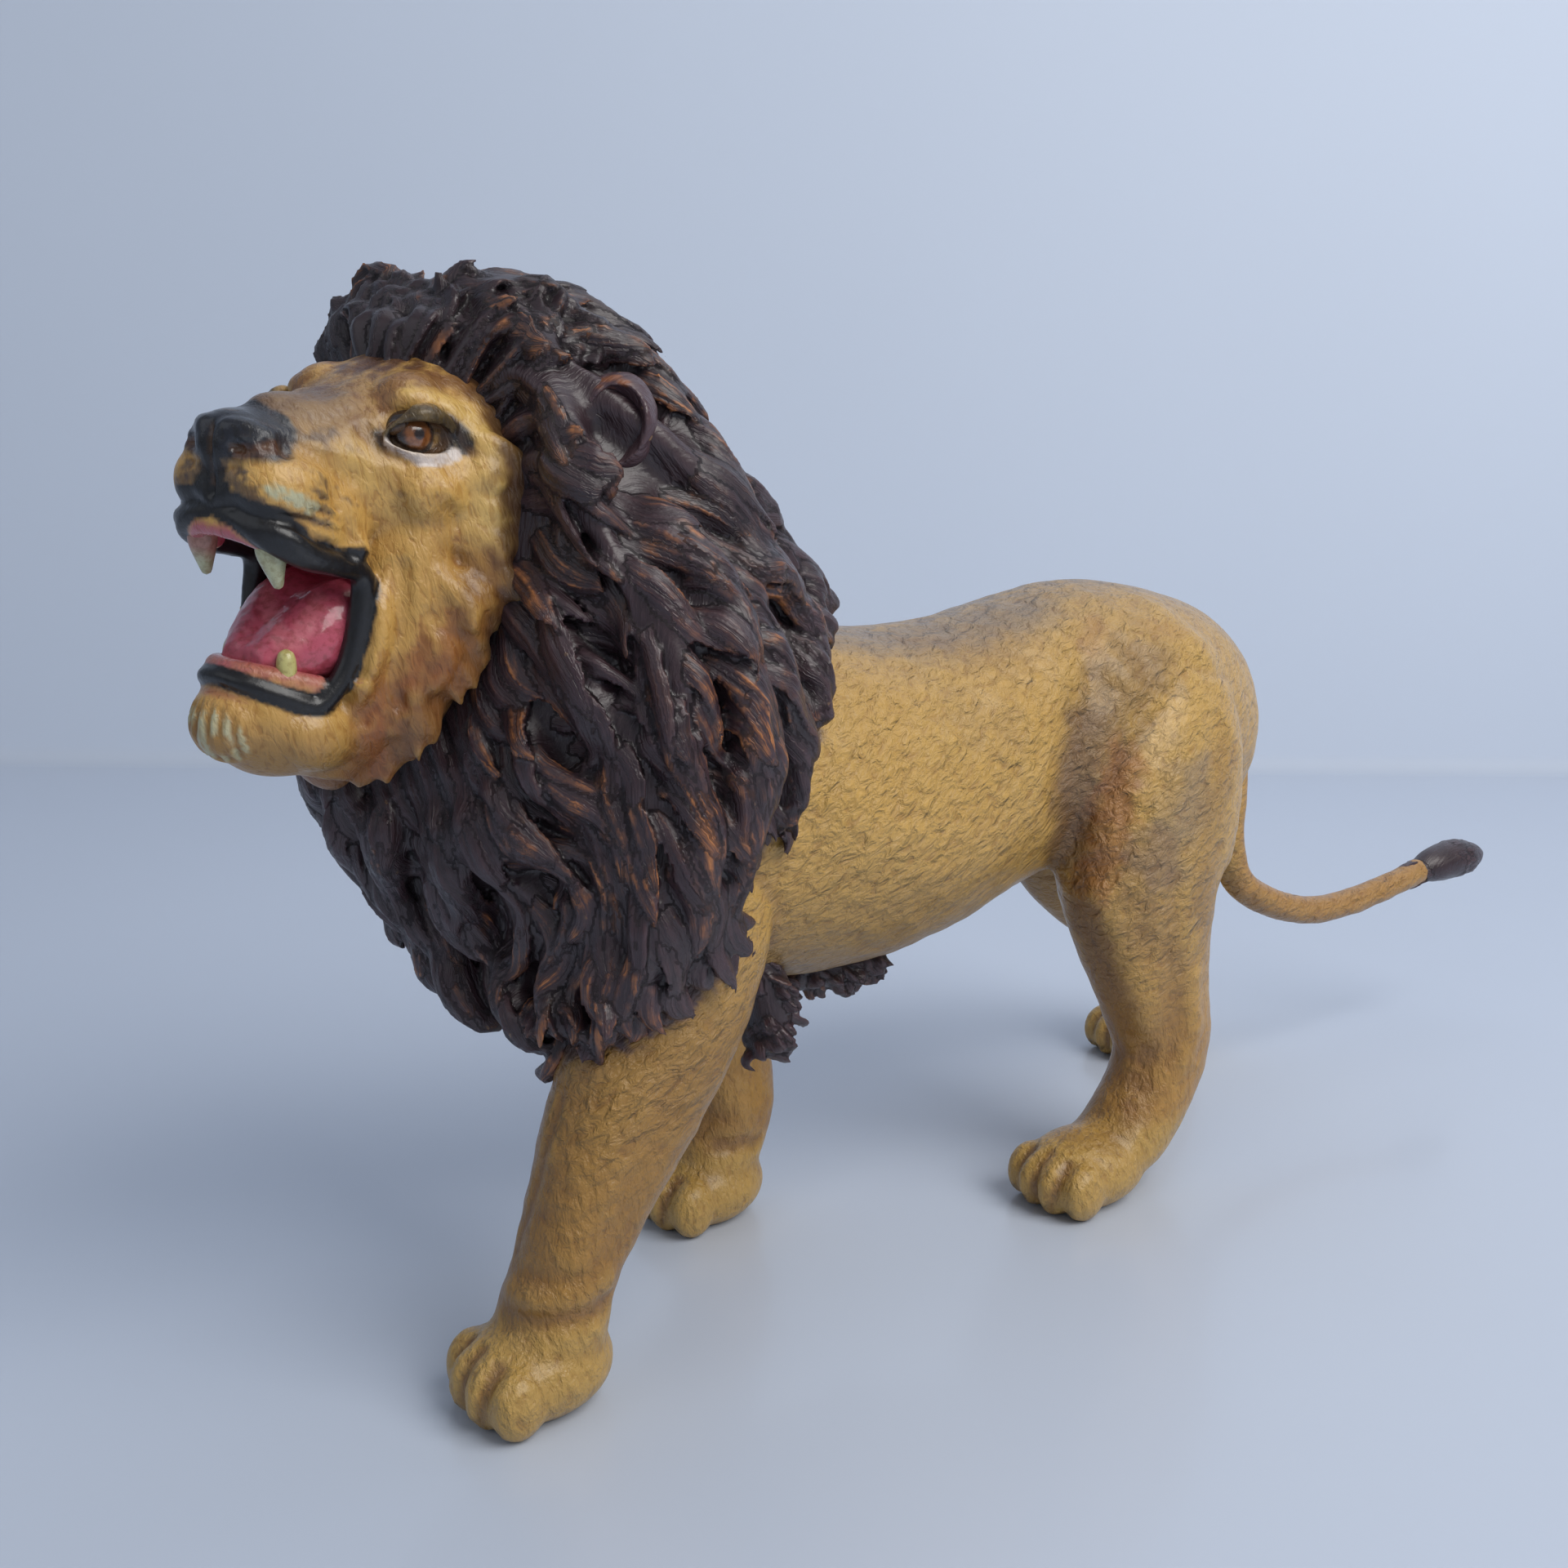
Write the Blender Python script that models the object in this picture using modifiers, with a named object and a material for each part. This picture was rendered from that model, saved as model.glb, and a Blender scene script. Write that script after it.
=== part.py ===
"""A roaring male lion in mid stride: a solid vinyl figure of glued mouldings, painted by hand.

The lion faces -Y, its left side is +X, and it stands on z = 0. Lengths are in metres.
Tables hold shares of the named sizes. A place on the body is (x share of HALF_WIDTH, y share of
BODY_LENGTH, z share of BACK_HEIGHT). A place on the head is (forward, left, up) in shares of
HEAD_LENGTH, HEAD_HALF_WIDTH and HEAD_HEIGHT, seen from a point between the eyes.
"""

import math

import bmesh
import bpy
import numpy as np
from mathutils import Matrix, Vector

FIGURE = "roaring_lion"

# Driving sizes of the body
BODY_LENGTH = 0.100
BACK_HEIGHT = 0.075
HALF_WIDTH = 0.016
LIMB_SIZE = 0.010
PAW_HEIGHT = 0.0098
SOLE_CUT = 0.0009
TAIL_RADIUS = 0.0022

# Driving sizes of the head, and how it is turned towards its left, raised and tilted
HEAD_LENGTH = 0.020
HEAD_HALF_WIDTH = 0.013
HEAD_HEIGHT = 0.014
FANG_RADIUS = 0.0011
HEAD_YAW = math.radians(23.8)
HEAD_PITCH = math.radians(9.5)
HEAD_ROLL = math.radians(6.1)

# Driving sizes of the mane
MANE_RADIUS = 0.0292
LOCK_LENGTH = 0.017
LOCK_HALF_WIDTH = 0.0030
LOCK_RISE = 0.0019
EAR_CLEARANCE = 0.0065

# Fits between the mouldings
GAP = 0.0003
PEG_RADIUS = 0.0025
PEG_LENGTH = 0.0045
PIN_RADIUS = 0.0011
PIN_LENGTH = 0.0024
NECK_PLUG_RADIUS = 0.0090
HEAD_PLUG_RADIUS = 0.0050
RIM_OVERLAP = 0.0050

# How many times a form's size a cutting block reaches past it
CLEAR_OF_ALL = 3

# How finely the forms are melted together, and how many facets each skin keeps
BODY_VOXEL = 0.0010
FACE_VOXEL = 0.0006
MANE_VOXEL = 0.0008
BODY_FACETS = 3500
MANE_FACETS = 3300
HEAD_FACETS = 1500
RING_SIDES = 24
SLIM_SIDES = 8
CUTTER_SIDES = 16
FINE_STEPS = 3

LEFT = Vector((1, 0, 0))
FORWARD = Vector((0, -1, 0))
UPWARD = Vector((0, 0, 1))

# The trunk: y, top z, bottom z, half width
TRUNK_SHARES = (
    (0.652, 0.79, 0.65, 0.22),
    (0.628, 0.88, 0.58, 0.48),
    (0.57, 0.94, 0.56, 0.68),
    (0.50, 0.975, 0.55, 0.85),
    (0.40, 1.003, 0.545, 0.97),
    (0.30, 1.007, 0.535, 0.95),
    (0.20, 0.984, 0.505, 0.91),
    (0.10, 0.960, 0.463, 0.97),
    (0.00, 0.953, 0.438, 1.04),
    (-0.10, 0.965, 0.435, 1.08),
    (-0.20, 0.985, 0.447, 1.06),
    (-0.30, 1.00, 0.455, 1.00),
    (-0.40, 1.00, 0.48, 0.85),
    (-0.46, 0.95, 0.55, 0.60),
)

# Each leg: centre, then half width and half depth in shares of LIMB_SIZE
LEG_SHARES = {
    "front_left_leg": (
        ((0.45, -0.31, 0.76), 0.70, 0.95),
        ((0.56, -0.315, 0.67), 0.74, 1.05),
        ((0.71, -0.328, 0.575), 0.74, 1.02),
        ((0.83, -0.365, 0.465), 0.70, 0.88),
        ((0.86, -0.412, 0.355), 0.60, 0.80),
        ((0.87, -0.448, 0.26), 0.56, 0.64),
        ((0.87, -0.476, 0.175), 0.53, 0.53),
        ((0.87, -0.490, 0.115), 0.56, 0.55),
        ((0.87, -0.50, 0.07), 0.55, 0.50),
    ),
    "front_right_leg": (
        ((-0.45, -0.28, 0.76), 0.70, 0.95),
        ((-0.58, -0.265, 0.67), 0.74, 1.08),
        ((-0.69, -0.24, 0.575), 0.75, 1.06),
        ((-0.71, -0.205, 0.465), 0.70, 0.93),
        ((-0.68, -0.17, 0.36), 0.62, 0.82),
        ((-0.65, -0.14, 0.265), 0.58, 0.70),
        ((-0.63, -0.125, 0.19), 0.56, 0.62),
        ((-0.63, -0.14, 0.12), 0.56, 0.60),
        ((-0.63, -0.158, 0.07), 0.55, 0.50),
    ),
    "hind_left_leg": (
        ((0.50, 0.42, 0.84), 0.75, 1.00),
        ((0.58, 0.405, 0.74), 0.88, 1.34),
        ((0.68, 0.375, 0.63), 0.88, 1.46),
        ((0.77, 0.350, 0.53), 0.78, 1.30),
        ((0.83, 0.355, 0.42), 0.66, 1.00),
        ((0.86, 0.373, 0.32), 0.57, 0.80),
        ((0.875, 0.387, 0.235), 0.52, 0.72),
        ((0.875, 0.365, 0.155), 0.52, 0.64),
        ((0.875, 0.325, 0.095), 0.55, 0.56),
        ((0.875, 0.285, 0.065), 0.55, 0.42),
    ),
    "hind_right_leg": (
        ((-0.56, 0.45, 0.82), 0.80, 1.20),
        ((-0.62, 0.46, 0.73), 0.88, 1.50),
        ((-0.72, 0.47, 0.63), 0.86, 1.50),
        ((-0.80, 0.50, 0.53), 0.76, 1.25),
        ((-0.86, 0.56, 0.43), 0.65, 1.02),
        ((-0.92, 0.635, 0.35), 0.56, 0.84),
        ((-0.97, 0.72, 0.27), 0.52, 0.76),
        ((-1.00, 0.755, 0.18), 0.53, 0.70),
        ((-1.03, 0.75, 0.10), 0.56, 0.62),
        ((-1.04, 0.72, 0.06), 0.55, 0.45),
    ),
}

# Each paw: centre x and y, then half length and half width in shares of LIMB_SIZE
PAW_SHARES = {
    "front_left_leg": (0.87, -0.510, 0.78, 0.66),
    "front_right_leg": (-0.63, -0.160, 0.80, 0.66),
    "hind_left_leg": (0.875, 0.252, 0.88, 0.64),
    "hind_right_leg": (-1.02, 0.715, 0.88, 0.64),
}
# Four toes: place across the paw, and radii as shares of the paw's own
TOE_SHARES = (-0.72, -0.26, 0.26, 0.72)
TOE_RADII_SHARES = (0.29, 0.50, 0.80)
# How far forward the middle toes lie, how much less an outer toe, and how low they all lie
TOE_REACH_SHARES = (0.54, 0.26)
TOE_DROP_SHARE = 0.12
PALM_SHARE = 0.84

# Where each leg's moulding is parted from the body: z, centre y, half length y, inner x
HIND_PARTING_SHARES = (
    (0.94, 0.430, 0.05, 0.60),
    (0.89, 0.430, 0.12, 0.52),
    (0.78, 0.415, 0.19, 0.42),
    (0.65, 0.400, 0.235, 0.38),
    (0.55, 0.385, 0.24, 0.36),
    (0.47, 0.430, 0.26, 0.30),
    (0.38, 0.480, 0.36, 0.08),
    (-0.05, 0.480, 0.42, 0.06),
)
FRONT_PARTING_SHARES = (
    (0.72, -0.330, 0.06, 0.60),
    (0.67, -0.335, 0.10, 0.46),
    (0.58, -0.340, 0.125, 0.42),
    (0.48, -0.350, 0.135, 0.38),
    (0.42, -0.350, 0.24, 0.10),
    (-0.05, -0.350, 0.40, 0.06),
)
PARTINGS = {
    "front_left_leg": (1, FRONT_PARTING_SHARES, 0.0),
    "front_right_leg": (-1, FRONT_PARTING_SHARES, 0.06),
    "hind_left_leg": (1, HIND_PARTING_SHARES, 0.0),
    "hind_right_leg": (-1, HIND_PARTING_SHARES, 0.05),
}
PARTING_OUTER_SHARE = 2.2
PARTING_SQUARENESS = 0.55

# The peg that each leg is glued by: y, z, and the x where it starts inside the leg
PEG_SHARES = {
    "front_left_leg": (-0.34, 0.60, 0.75),
    "front_right_leg": (-0.28, 0.60, -0.75),
    "hind_left_leg": (0.40, 0.70, 0.75),
    "hind_right_leg": (0.45, 0.70, -0.75),
}
PEG_START_SHARE = 0.40

# The tail, root first: centre, radius as a share of TAIL_RADIUS. The last five are the tuft.
TAIL_SHARES = (
    ((0.0, 0.56, 0.885), 1.55),
    ((0.0, 0.615, 0.845), 1.65),
    ((0.0, 0.655, 0.75), 1.50),
    ((0.0, 0.672, 0.63), 1.25),
    ((0.0, 0.678, 0.51), 1.12),
    ((0.0, 0.702, 0.420), 1.05),
    ((0.05, 0.765, 0.362), 1.00),
    ((0.10, 0.86, 0.325), 0.98),
    ((0.15, 0.95, 0.325), 0.95),
    ((0.20, 1.05, 0.345), 0.90),
    ((0.22, 1.12, 0.362), 0.90),
    ((0.23, 1.15, 0.368), 1.35),
    ((0.24, 1.20, 0.372), 1.55),
    ((0.25, 1.25, 0.372), 1.20),
    ((0.25, 1.285, 0.370), 0.45),
)

# The point between the eyes that the head's places start from
HEAD_ORIGIN_SHARES = (-0.0125, -0.578, 1.163)
# Skull and muzzle: forward, top, bottom, half width
SKULL_SHARES = (
    (-0.80, 0.55, -0.35, 0.55),
    (-0.55, 0.84, -0.62, 0.86),
    (-0.25, 0.93, -0.72, 0.95),
    (0.00, 0.87, -0.60, 0.88),
    (0.20, 0.70, -0.50, 0.70),
    (0.40, 0.50, -0.46, 0.52),
    (0.60, 0.36, -0.43, 0.44),
    (0.80, 0.27, -0.40, 0.36),
    (0.90, 0.16, -0.30, 0.24),
)
# Cheeks and throat: forward, up, half length, half width
CHEEK_SHARES = (
    (-0.20, 0.00, 0.42, 0.84),
    (-0.14, -0.40, 0.42, 0.84),
    (-0.10, -0.80, 0.40, 0.82),
    (-0.06, -1.20, 0.37, 0.74),
    (0.01, -1.60, 0.33, 0.60),
    (0.10, -1.90, 0.20, 0.38),
)
CHEEK_SQUARENESS = 0.65
# Lower jaw: forward, top, bottom, half width
JAW_SHARES = (
    (0.00, -1.20, -1.98, 0.58),
    (0.25, -1.28, -1.97, 0.53),
    (0.45, -1.26, -1.93, 0.46),
    (0.60, -1.22, -1.84, 0.37),
    (0.70, -1.32, -1.72, 0.20),
)
# Whisker pads, brows and nose: place, radii
PAD_SHARES = ((0.68, 0.29, -0.19), (0.20, 0.26, 0.27))
BROW_SHARES = ((0.08, 0.38, 0.48), (0.20, 0.24, 0.25))
NOSE_SHARES = ((0.84, 0.04, 0.06), (0.11, 0.27, 0.20))
# The gape, open right across: forward, top, bottom, half width
GAPE_SHARES = (
    (0.24, -0.60, -1.22, 1.30),
    (0.33, -0.45, -1.36, 1.30),
    (1.40, -0.45, -1.20, 1.30),
)
GAPE_SQUARENESS = 0.3
# The throat runs back from the gape between the cheeks
THROAT_SHARES = (
    (-0.22, -0.80, -1.05, 0.25),
    (-0.10, -0.66, -1.18, 0.42),
    (0.12, -0.54, -1.28, 0.56),
    (0.40, -0.50, -1.32, 0.60),
)
THROAT_SQUARENESS = 0.7
# Fangs: root and tip, and the slim profile along them
UPPER_FANG_SHARES = ((0.735, 0.33, -0.30), (0.69, 0.33, -0.67))
LOWER_FANG_SHARES = ((0.55, 0.27, -1.50), (0.56, 0.27, -1.09))
FANG_PROFILE_SHARES = ((0.0, 1.0), (0.4, 0.92), (0.72, 0.62), (0.92, 0.32), (1.0, 0.14))
# The lower jaw is parted from the head below this height, across the cheeks
JAW_PARTING_SHARE = -0.98
JAW_PIN_SHARES = (-0.05, 0.68)
# The skull is cut flat here, behind the face, and carries a plug into the mane
SKULL_BACK_SHARE = -0.52
# Tongue: forward, up, half width, half height
TONGUE_SHARES = (
    (-0.16, -0.96, 0.28, 0.10),
    (0.00, -1.06, 0.38, 0.20),
    (0.20, -1.16, 0.40, 0.24),
    (0.38, -1.22, 0.38, 0.24),
    (0.50, -1.22, 0.28, 0.20),
    (0.57, -1.20, 0.12, 0.10),
)

# Mane hood, from the rim on the flanks to the rim round the face: centre y and z, how far the
# section leans, then rise, drop and half width in shares of MANE_RADIUS, and its yaw in radians
MANE_SHARES = (
    (-0.26, 0.72, 0.75, 0.87, 0.86, 0.60, 0.0),
    (-0.31, 0.79, 0.58, 0.86, 1.00, 0.76, 0.0),
    (-0.37, 0.87, 0.38, 0.91, 1.04, 0.82, 0.10),
    (-0.44, 0.95, 0.12, 1.07, 1.04, 0.81, 0.24),
    (-0.495, 1.02, 0.02, 1.01, 1.01, 0.74, 0.36),
    (-0.53, 1.06, 0.06, 0.89, 0.90, 0.60, 0.42),
    (-0.547, 1.07, 0.06, 0.62, 0.72, 0.42, 0.42),
)
MANE_SQUARENESS = 0.88
MANE_SKIRT_SQUARENESS = 0.70
MANE_TAPER_SHARE = 0.28
# Rows of locks: where the row starts between the face rim (0) and the flank rim (1), how many
# locks go round, and their length and width as shares of the named ones
LOCK_ROWS = (
    (0.03, 17, 0.80, 0.80),
    (0.20, 18, 0.95, 0.88),
    (0.40, 19, 1.00, 0.92),
    (0.60, 19, 0.95, 0.92),
    (0.79, 17, 0.70, 0.85),
)
LOCK_PROFILE_SHARES = ((0.0, 0.45, -0.7), (0.2, 0.9, 0.05), (0.5, 1.0, 0.6), (0.8, 0.62, 0.95),
                       (1.0, 0.12, 0.9))
LOCK_FLATNESS_SHARE = 0.95
# How far round the hood a lock sways and hangs down, how often it turns, and how the sway runs on
# along and between the rows
LOCK_SWAY_SHARE = 0.022
LOCK_DROOP_SHARE = 0.065
LOCK_TURNS = 1.6
SWAY_STEP = 7.0
SWAY_ROW_STEP = 3.0
# The stretch of the hood over which a lock's scale is read
PROBE_SHARE = 0.1
# Ears: places of the cups, left one first, and where the hollow lies from there
EAR_SHARES = ((-0.44, 1.47, 0.66), (-0.70, -1.02, 0.62))
EAR_RADII_SHARES = (0.18, 0.29, 0.33)
HOLLOW_STEP_SHARES = (0.10, 0.11, -0.02)
HOLLOW_RADII_SHARES = (0.11, 0.20, 0.21)
# Belly fringe, a ridge of tufts behind the front legs: y of each tuft and its radii
FRINGE_SHARES = ((-0.24, 0.425), (-0.19, 0.415), (-0.14, 0.415), (-0.09, 0.42), (-0.045, 0.425))
FRINGE_RADII_SHARES = (0.30, 0.38, 0.32)


def at(x_share, y_share, z_share):
    """A place on the body from its shares."""
    return Vector((x_share * HALF_WIDTH, y_share * BODY_LENGTH, z_share * BACK_HEIGHT))


def head_turn():
    """A matrix whose columns are the head's forward, left and up directions."""
    forward = math.cos(HEAD_YAW) * FORWARD + math.sin(HEAD_YAW) * LEFT
    left = math.cos(HEAD_YAW) * LEFT - math.sin(HEAD_YAW) * FORWARD
    nose = math.cos(HEAD_PITCH) * forward + math.sin(HEAD_PITCH) * UPWARD
    crown = math.cos(HEAD_PITCH) * UPWARD - math.sin(HEAD_PITCH) * forward
    cheek = math.cos(HEAD_ROLL) * left - math.sin(HEAD_ROLL) * crown
    crown = math.sin(HEAD_ROLL) * left + math.cos(HEAD_ROLL) * crown
    return Matrix((nose, cheek, crown)).transposed()


def on_head(forward, left, up):
    """A place on the head from its shares."""
    local = Vector((forward * HEAD_LENGTH, left * HEAD_HALF_WIDTH, up * HEAD_HEIGHT))
    return at(*HEAD_ORIGIN_SHARES) + head_turn() @ local


def signed_power(value, power):
    """value raised to a power, with its sign kept."""
    return math.copysign(abs(value) ** power, value)


def ring(centre, side, up, half_width, half_height, squareness=1.0, sides=RING_SIDES):
    """One closed section, an oval that gets squarer as its squareness falls."""
    points = []
    for step in range(sides):
        angle = 2 * math.pi * step / sides
        across = signed_power(math.cos(angle), squareness) * half_width
        height = signed_power(math.sin(angle), squareness) * half_height
        points.append(centre + side * across + up * height)
    return points


def hood_ring(centre, side, up, half_width, rise, drop):
    """One section of the mane: narrower towards its crown, squarer where it hangs."""
    points = []
    for step in range(RING_SIDES):
        angle = 2 * math.pi * step / RING_SIDES
        crown = math.sin(angle) > 0
        squareness = MANE_SQUARENESS if crown else MANE_SKIRT_SQUARENESS
        height = signed_power(math.sin(angle), squareness)
        across = signed_power(math.cos(angle), squareness) * half_width
        if crown:
            across *= 1 - MANE_TAPER_SHARE * height
        points.append(centre + side * across + up * height * (rise if crown else drop))
    return points


def skin(rings):
    """A closed form over rings of equally many points, with flat ends."""
    form = bmesh.new()
    rows = [[form.verts.new(point) for point in points] for points in rings]
    for near, far in zip(rows, rows[1:]):
        for index in range(len(near)):
            following = (index + 1) % len(near)
            form.faces.new((near[index], near[following], far[following], far[index]))
    form.faces.new(list(reversed(rows[0])))
    form.faces.new(rows[-1])
    bmesh.ops.recalc_face_normals(form, faces=form.faces)
    return form


def refine(rows, steps=FINE_STEPS):
    """Smooth steps between the rows of a table, which pass through every row."""
    table = np.array(rows, dtype=float)
    padded = np.vstack((2 * table[0] - table[1], table, 2 * table[-1] - table[-2]))
    fine = []
    for index in range(len(table) - 1):
        before, start, end, after = padded[index:index + 4]
        for step in range(steps):
            t = step / steps
            fine.append(0.5 * (2 * start + (end - before) * t
                               + (2 * before - 5 * start + 4 * end - after) * t ** 2
                               + (3 * start - before - 3 * end + after) * t ** 3))
    fine.append(table[-1])
    return np.array(fine)


def limb(stations, steps=FINE_STEPS, side_hint=LEFT, sides=RING_SIDES):
    """A loft along a path. Each station is a centre, a half width and a half depth."""
    fine = refine([[*centre, width, depth] for centre, width, depth in stations], steps)
    rings = []
    for index, row in enumerate(fine):
        before = fine[max(index - 1, 0)][:3]
        after = fine[min(index + 1, len(fine) - 1)][:3]
        along = Vector(after - before).normalized()
        side = (side_hint - along * side_hint.dot(along)).normalized()
        rings.append(ring(Vector(row[:3]), side, along.cross(side), row[3], row[4], sides=sides))
    return skin(rings)


def ball(centre, radii, turn=Matrix.Identity(3), fineness=3):
    """An ellipsoid."""
    form = bmesh.new()
    matrix = Matrix.Translation(centre) @ turn.to_4x4() @ Matrix.Diagonal((*radii, 1))
    bmesh.ops.create_icosphere(form, subdivisions=fineness, radius=1, matrix=matrix)
    return form


def rod(start, end, radius):
    """A round peg from one point to another."""
    form = bmesh.new()
    along = end - start
    turn = along.to_track_quat("Z", "Y").to_matrix().to_4x4()
    bmesh.ops.create_cone(form, cap_ends=True, segments=16, radius1=radius, radius2=radius,
                          depth=along.length, matrix=Matrix.Translation((start + end) / 2) @ turn)
    return form


def block(centre, side, up, half_width, half_height, depth):
    """A box that starts at centre and runs depth along the third direction, side x up."""
    out = side.cross(up)
    rings = []
    for offset in (Vector(), out * depth):
        middle = centre + offset
        rings.append([middle + side * half_width + up * half_height,
                      middle - side * half_width + up * half_height,
                      middle - side * half_width - up * half_height,
                      middle + side * half_width - up * half_height])
    return skin(rings)


class Workshop:
    """The collections that the mouldings and the cutters go in."""

    def __init__(self):
        for old in list(bpy.data.objects):
            bpy.data.objects.remove(old, do_unlink=True)
        self.parts = bpy.data.collections.new(FIGURE)
        self.cutters = bpy.data.collections.new("cutters")
        for collection in (self.parts, self.cutters):
            bpy.context.scene.collection.children.link(collection)

    def part(self, name, *forms):
        return self.place(name, forms, self.parts)

    def cutter(self, name, *forms):
        made = self.place(name, forms, self.cutters)
        return self.hide(made)

    def place(self, name, forms, collection):
        """One object that holds one or more closed forms."""
        whole = bmesh.new()
        for form in forms:
            data = bpy.data.meshes.new(name)
            form.to_mesh(data)
            form.free()
            whole.from_mesh(data)
            bpy.data.meshes.remove(data)
        data = bpy.data.meshes.new(name)
        whole.to_mesh(data)
        whole.free()
        made = bpy.data.objects.new(name, data)
        collection.objects.link(made)
        return made

    def hide(self, made):
        made.hide_render = True
        made.display_type = "WIRE"
        return made

    def copy(self, made, name):
        """Another moulding with the same skin."""
        twin = bpy.data.objects.new(name, made.data.copy())
        self.parts.objects.link(twin)
        return twin

    def room(self, made, distance=GAP):
        """A cutter that stands off a form by the gap that mating mouldings keep."""
        twin = bpy.data.objects.new(made.name + "_room", made.data.copy())
        self.cutters.objects.link(twin)
        grow = twin.modifiers.new("grow", "DISPLACE")
        grow.mid_level = 0
        grow.strength = distance
        settle(twin)
        return self.hide(twin)


def settle(made):
    """Applies an object's modifiers."""
    bpy.context.view_layer.update()
    graph = bpy.context.evaluated_depsgraph_get()
    data = bpy.data.meshes.new_from_object(made.evaluated_get(graph))
    old = made.data
    made.modifiers.clear()
    made.data = data
    bpy.data.meshes.remove(old)
    return made


def melt(made, voxel, smoothing, facets):
    """Melts overlapping forms into one skin, then thins its facets."""
    remesh = made.modifiers.new("melt", "REMESH")
    remesh.mode = "VOXEL"
    remesh.voxel_size = voxel
    soften = made.modifiers.new("soften", "SMOOTH")
    soften.factor = 0.5
    soften.iterations = smoothing
    settle(made)
    thin = made.modifiers.new("thin", "DECIMATE")
    thin.ratio = min(1.0, facets / (2 * len(made.data.polygons)))
    return settle(made)


def combine(made, other, operation, solver="EXACT"):
    """Cuts, keeps or joins another closed form."""
    step = made.modifiers.new(operation.lower(), "BOOLEAN")
    step.operation = operation
    step.solver = solver
    step.object = other
    return settle(made)


def fit_over(made, neighbour, shop):
    """Cuts room for a neighbour, whose skin may fold at its creases once it is grown."""
    return combine(made, shop.room(neighbour), "DIFFERENCE", "MANIFOLD")


def drop_crumbs(made):
    """Keeps the largest shell where a cut has left slivers beside it."""
    form = bmesh.new()
    form.from_mesh(made.data)
    left_over = set(form.verts)
    shells = []
    while left_over:
        shell = {left_over.pop()}
        edge_of_shell = list(shell)
        while edge_of_shell:
            vertex = edge_of_shell.pop()
            for edge in vertex.link_edges:
                other = edge.other_vert(vertex)
                if other in left_over:
                    left_over.remove(other)
                    shell.add(other)
                    edge_of_shell.append(other)
        shells.append(shell)
    largest = max(shells, key=len)
    bmesh.ops.delete(form, geom=[vert for vert in form.verts if vert not in largest])
    form.to_mesh(made.data)
    form.free()


def trunk():
    """The trunk, from the rump to the chest under the mane."""
    rings = []
    for y, top, bottom, width in refine(TRUNK_SHARES):
        half_height = (top - bottom) / 2 * BACK_HEIGHT
        rings.append(ring(at(0, y, (top + bottom) / 2), LEFT, UPWARD, width * HALF_WIDTH,
                          half_height))
    return skin(rings)


def fringe():
    """Tufts of fur under the chest."""
    tufts = []
    radii = [share * LIMB_SIZE for share in FRINGE_RADII_SHARES]
    for y, z in FRINGE_SHARES:
        tufts.append(ball(at(0, y, z), radii))
    return tufts


def leg(name):
    """A leg with its paw and four toes."""
    forms = [limb([(at(*centre), width * LIMB_SIZE, depth * LIMB_SIZE)
                   for centre, width, depth in LEG_SHARES[name]])]
    x, y, length, width = PAW_SHARES[name]
    half_height = PAW_HEIGHT / 2
    middle = at(x, y, 0) + UPWARD * (half_height - SOLE_CUT)
    half_length = length * LIMB_SIZE
    half_width = width * LIMB_SIZE
    forms.append(ball(middle, (half_width, half_length * PALM_SHARE, half_height)))
    for across in TOE_SHARES:
        reach = TOE_REACH_SHARES[0] - TOE_REACH_SHARES[1] * abs(across)
        toe = middle + LEFT * across * half_width + FORWARD * reach * half_length
        toe -= UPWARD * half_height * TOE_DROP_SHARE
        forms.append(ball(toe, (TOE_RADII_SHARES[0] * half_width,
                                TOE_RADII_SHARES[1] * half_length,
                                TOE_RADII_SHARES[2] * half_height)))
    return forms


def leg_parting(name):
    """The space that a leg's moulding fills, squarish in plan and open towards the outside."""
    side, rows, shift = PARTINGS[name]
    rings = []
    for z, y, half_length, inner in rows:
        centre = at(side * (inner + PARTING_OUTER_SHARE) / 2, y + shift, z)
        half_width = (PARTING_OUTER_SHARE - inner) / 2 * HALF_WIDTH
        rings.append(ring(centre, LEFT, -FORWARD, half_width, half_length * BODY_LENGTH,
                          PARTING_SQUARENESS, CUTTER_SIDES))
    return skin(rings)


def leg_peg(name):
    """The peg on the inner face of a leg."""
    y, z, start = PEG_SHARES[name]
    side = math.copysign(1, start)
    end = at(side * PEG_START_SHARE, y, z) - LEFT * side * PEG_LENGTH
    return rod(at(start, y, z), end, PEG_RADIUS)


def tail():
    """The tail, whose root sits in the rump, with its tuft."""
    return limb([(at(*centre), radius * TAIL_RADIUS, radius * TAIL_RADIUS)
                 for centre, radius in TAIL_SHARES], 2, sides=SLIM_SIDES)


def head_loft(rows_shares, squareness=1.0, steps=FINE_STEPS, sides=RING_SIDES):
    """A loft along the head from rows of forward, top, bottom and half width."""
    turn = head_turn()
    rings = []
    for forward, top, bottom, width in refine(rows_shares, steps):
        half_height = (top - bottom) / 2 * HEAD_HEIGHT
        rings.append(ring(on_head(forward, 0, (top + bottom) / 2), turn.col[1], turn.col[2],
                          width * HEAD_HALF_WIDTH, half_height, squareness, sides))
    return skin(rings)


def cheeks():
    """The cheeks and the throat, a loft downwards behind the mouth."""
    turn = head_turn()
    rings = []
    for forward, up, length, width in refine(CHEEK_SHARES):
        rings.append(ring(on_head(forward, 0, up), turn.col[1], turn.col[0],
                          width * HEAD_HALF_WIDTH, length * HEAD_LENGTH, CHEEK_SQUARENESS))
    return skin(rings)


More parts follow.
